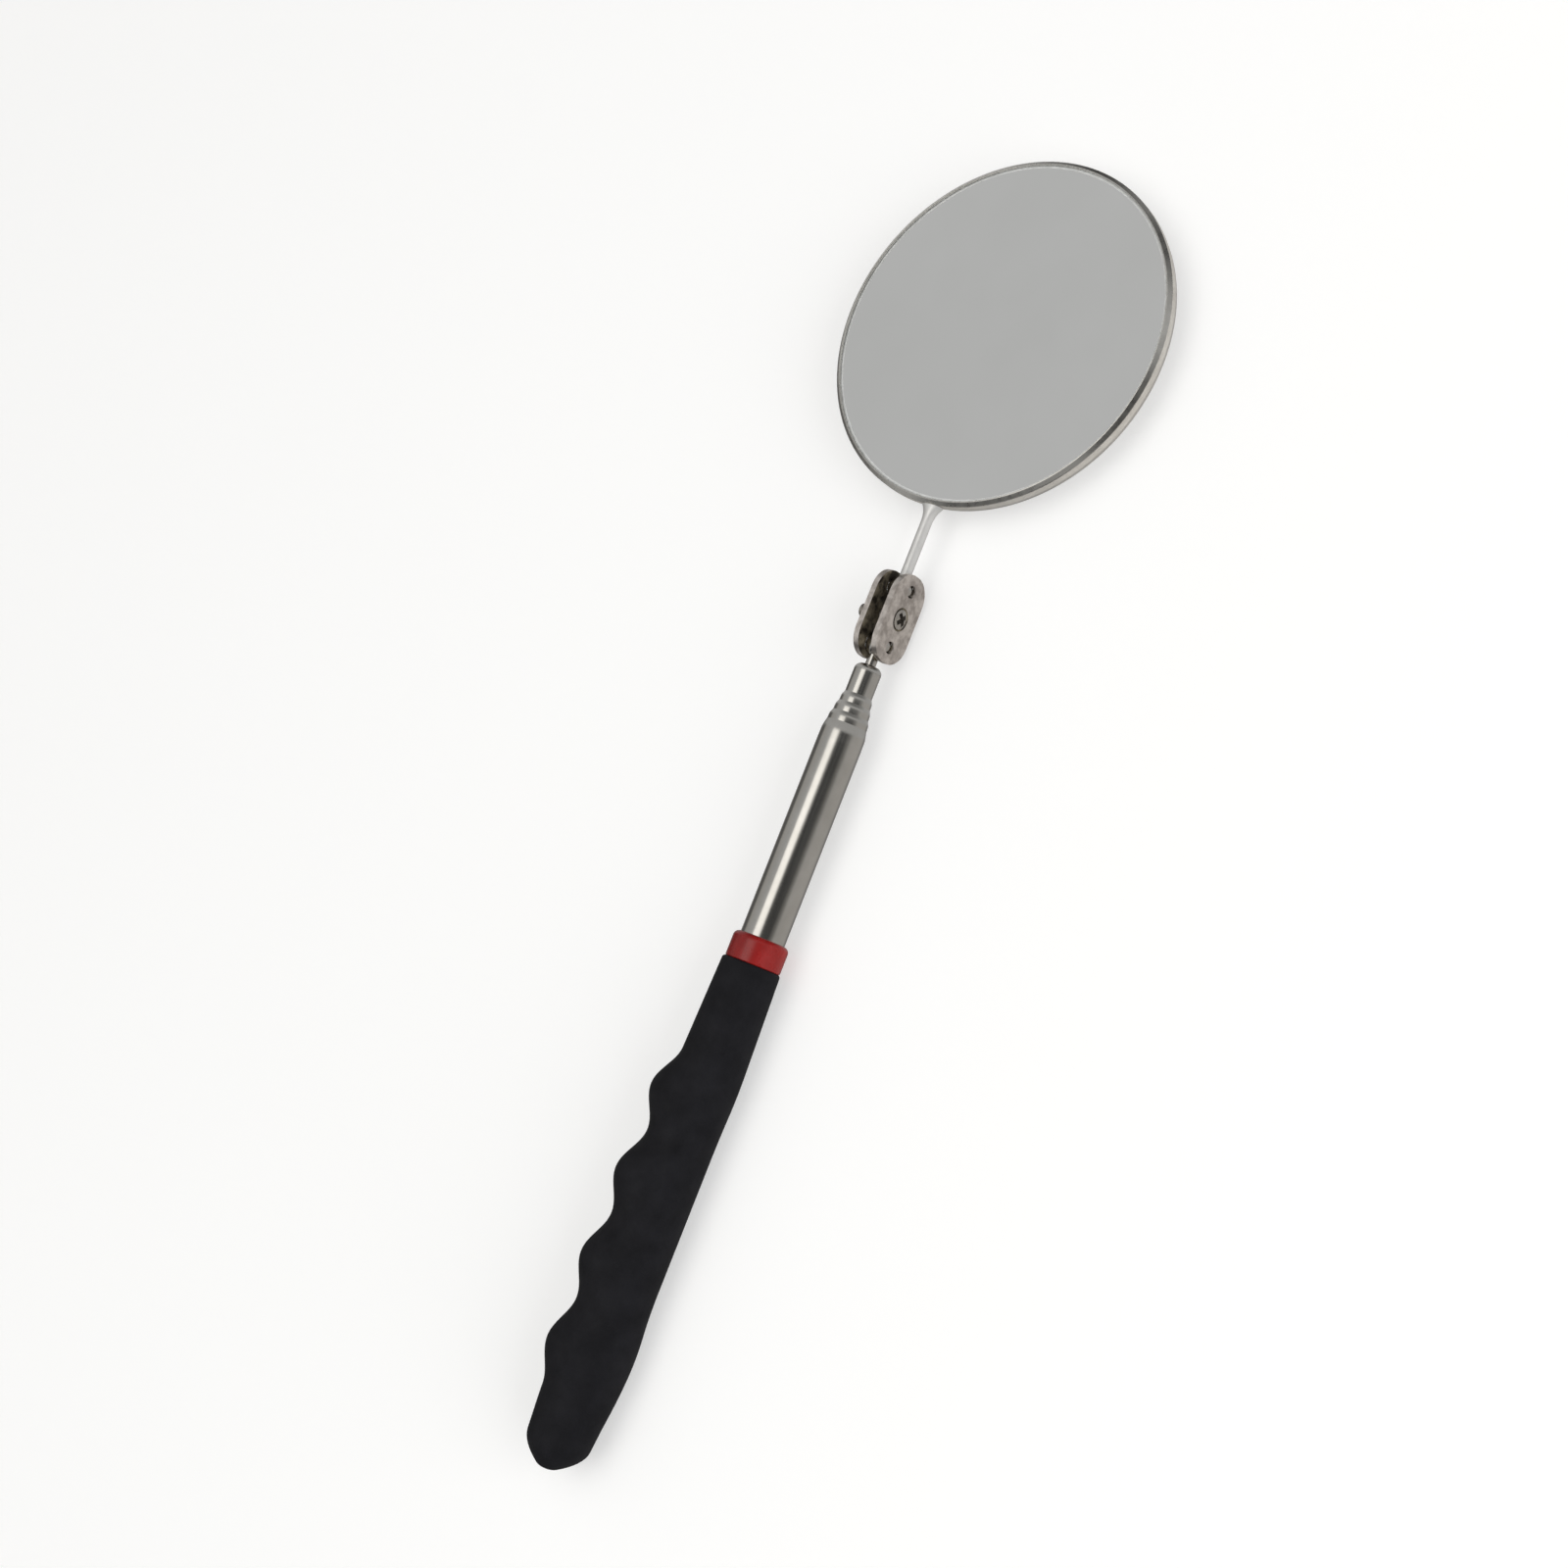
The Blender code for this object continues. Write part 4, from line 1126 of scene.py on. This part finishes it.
def make_stem():
    """Round wire, spread and flattened into a foot that is brazed to the bezel."""
    low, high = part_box("stem")
    foot_width, foot_height = (high.y - low.y) / 2, (high.z - low.z) / 2
    end = high.x + FOOT_SINK
    foot = end - FOOT_LENGTH
    stations = [low.x, low.x + STEM_END_EASE]
    stations += [*np.linspace(low.x + 1 * MM, foot, 8), *np.linspace(foot, end, 24)[1:]]
    turns = [FULL_TURN * i / STEM_SIDES for i in range(STEM_SIDES)]
    rows = [[Vector((low.x, 0, AXIS_Z))]]
    for station in stations:
        along = max(0.0, 1 - (end - station) / FOOT_LENGTH) ** FOOT_SPREAD
        width = STEM_RADIUS + (foot_width - STEM_RADIUS) * along
        height = STEM_RADIUS + (foot_height - STEM_RADIUS) * along
        if station == low.x:
            width = height = STEM_RADIUS - STEM_END_EASE
        rows.append([Vector((station, width * math.cos(t), AXIS_Z + height * math.sin(t))) for t in turns])
    rows.append([Vector((end, 0, AXIS_Z))])
    stand_for(lofted("stem_wire", rows, stem_plate()), "stem")


def mirror_part(node, name, outline, look, ring=False):
    """A turned piece of the mirror head. Its outline's heights are above the tool's axis."""
    return stand_for(spun(name, outline, look, UPRIGHT, MIRROR_MIDDLE, MIRROR_SIDES, ring), node)


def off_centre(face):
    """How far a face of the mirror head is from the head's upright axis."""
    return (face.center - MIRROR_MIDDLE).xy.length


def make_bezel():
    """Thin rolled ring: a flat lip over the glass, a sloped edge and a satin side wall with a painted
    reflection of the floor.
    """
    glass_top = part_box("mirror_glass")[1].z - AXIS_Z
    lip = MIRROR_RADIUS - LIP_REACH
    inside = MIRROR_RADIUS - BEZEL_WALL
    slope_in, slope_down = BEZEL_SLOPE
    front = [
        (glass_top + LIP_GAP, lip),
        (BEZEL_TOP, lip),
        (BEZEL_TOP, MIRROR_RADIUS - slope_in),
        (BEZEL_TOP - slope_down, MIRROR_RADIUS),
        (BEZEL_BOTTOM, MIRROR_RADIUS),
    ]
    section = eased(front, BEZEL_EASE) + [(BEZEL_BOTTOM, inside), (glass_top + LIP_GAP, inside)]
    roll = mirror_part("bezel_ring", "bezel_roll", section, bezel_chrome(), ring=True)
    roll.data.materials.append(bezel_wall_painted_reflection())
    # upright faces on the outside take the side wall's painted floor reflection
    for face in roll.data.polygons:
        outside = off_centre(face) > MIRROR_RADIUS - BEZEL_WALL / 2
        upright = abs(face.normal.z) < 0.3
        face.material_index = int(outside and upright)


def make_glass():
    """The mirror, with a narrow ground slope round its front and small chamfers behind."""
    low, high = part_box("mirror_glass")
    top, bottom = high.z - AXIS_Z, low.z - AXIS_Z
    radius = (high.x - low.x) / 2
    ground_width, ground_drop = GROUND_EDGE
    outline = [
        (top, 0),
        (top, radius - ground_width),
        (top - ground_drop, radius - GLASS_EASE),
        (top - ground_drop - GLASS_EASE, radius),
        (bottom + GLASS_EASE, radius),
        (bottom, radius - GLASS_EASE),
        (bottom, 0),
    ]
    disc = mirror_part("mirror_glass", "mirror_disc", outline, silvered_glass())
    disc.data.materials.append(ground_glass())
    for face in disc.data.polygons:
        face.material_index = int(off_centre(face) > radius - ground_width)


def make_cover():
    """Pressed tray behind the glass: a rim inside the bezel, a flange under it, a step."""
    low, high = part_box("back_cover")
    bottom, rim_top = low.z - AXIS_Z, high.z - AXIS_Z
    rim = MIRROR_RADIUS - BEZEL_WALL - 0.2 * MM
    inside = rim - COVER_WALL
    floor = bottom + COVER_FLOOR
    flange = (high.x - low.x) / 2
    flange_top = BEZEL_BOTTOM - 0.12 * MM
    raised = bottom + COVER_STEP_DEPTH
    step = [
        (bottom, flange - 1.5 * MM),
        (bottom, COVER_STEP_RADIUS + 1.2 * MM),
        (raised, COVER_STEP_RADIUS),
        (raised, COVER_STEP_RADIUS / 2),
    ]
    outline = (
        [(floor, 0), (floor, inside), (rim_top, inside), (rim_top, rim)]
        + [(flange_top, rim), (flange_top, flange - 0.1 * MM), (flange_top - 0.1 * MM, flange)]
        + arc(bottom + COVER_EDGE, flange - COVER_EDGE, COVER_EDGE, 90, 180)
        + eased(step, 0.5 * MM, steps=6)
        + [(raised, 0)]
    )
    mirror_part("back_cover", "cover_pressing", outline, cover_steel())


# -------- nodes that stay

BUSHES = ("tube_2_bush", "tube_3_bush", "tube_4_bush", "inner_tube_bush")


def dress_hidden_nodes():
    """Pieces inside the tubes, the grip and the case keep their CAD shape."""
    looks = {"tail_plug": plug_plastic(), "backing_pad": pad_foam()}
    looks |= dict.fromkeys(BUSHES, bush_brass())
    for node, look in looks.items():
        for slot in frame["nodes"][node].material_slots:
            slot.material = look


make_camera()
make_world()
make_soft_light("key", place=(-0.1, -0.2, 1.6), size=2.4, power=9)
make_soft_light("fill", place=(0.0, -1.6, 0.5), size=1.6, power=25)
make_floor()
make_backdrop()
make_grip()
make_red_ring()
make_tubes()
make_balls()
make_clamp()
make_stem()
make_bezel()
make_glass()
make_cover()
dress_hidden_nodes()

bpy.context.scene.view_settings.view_transform = "Standard"
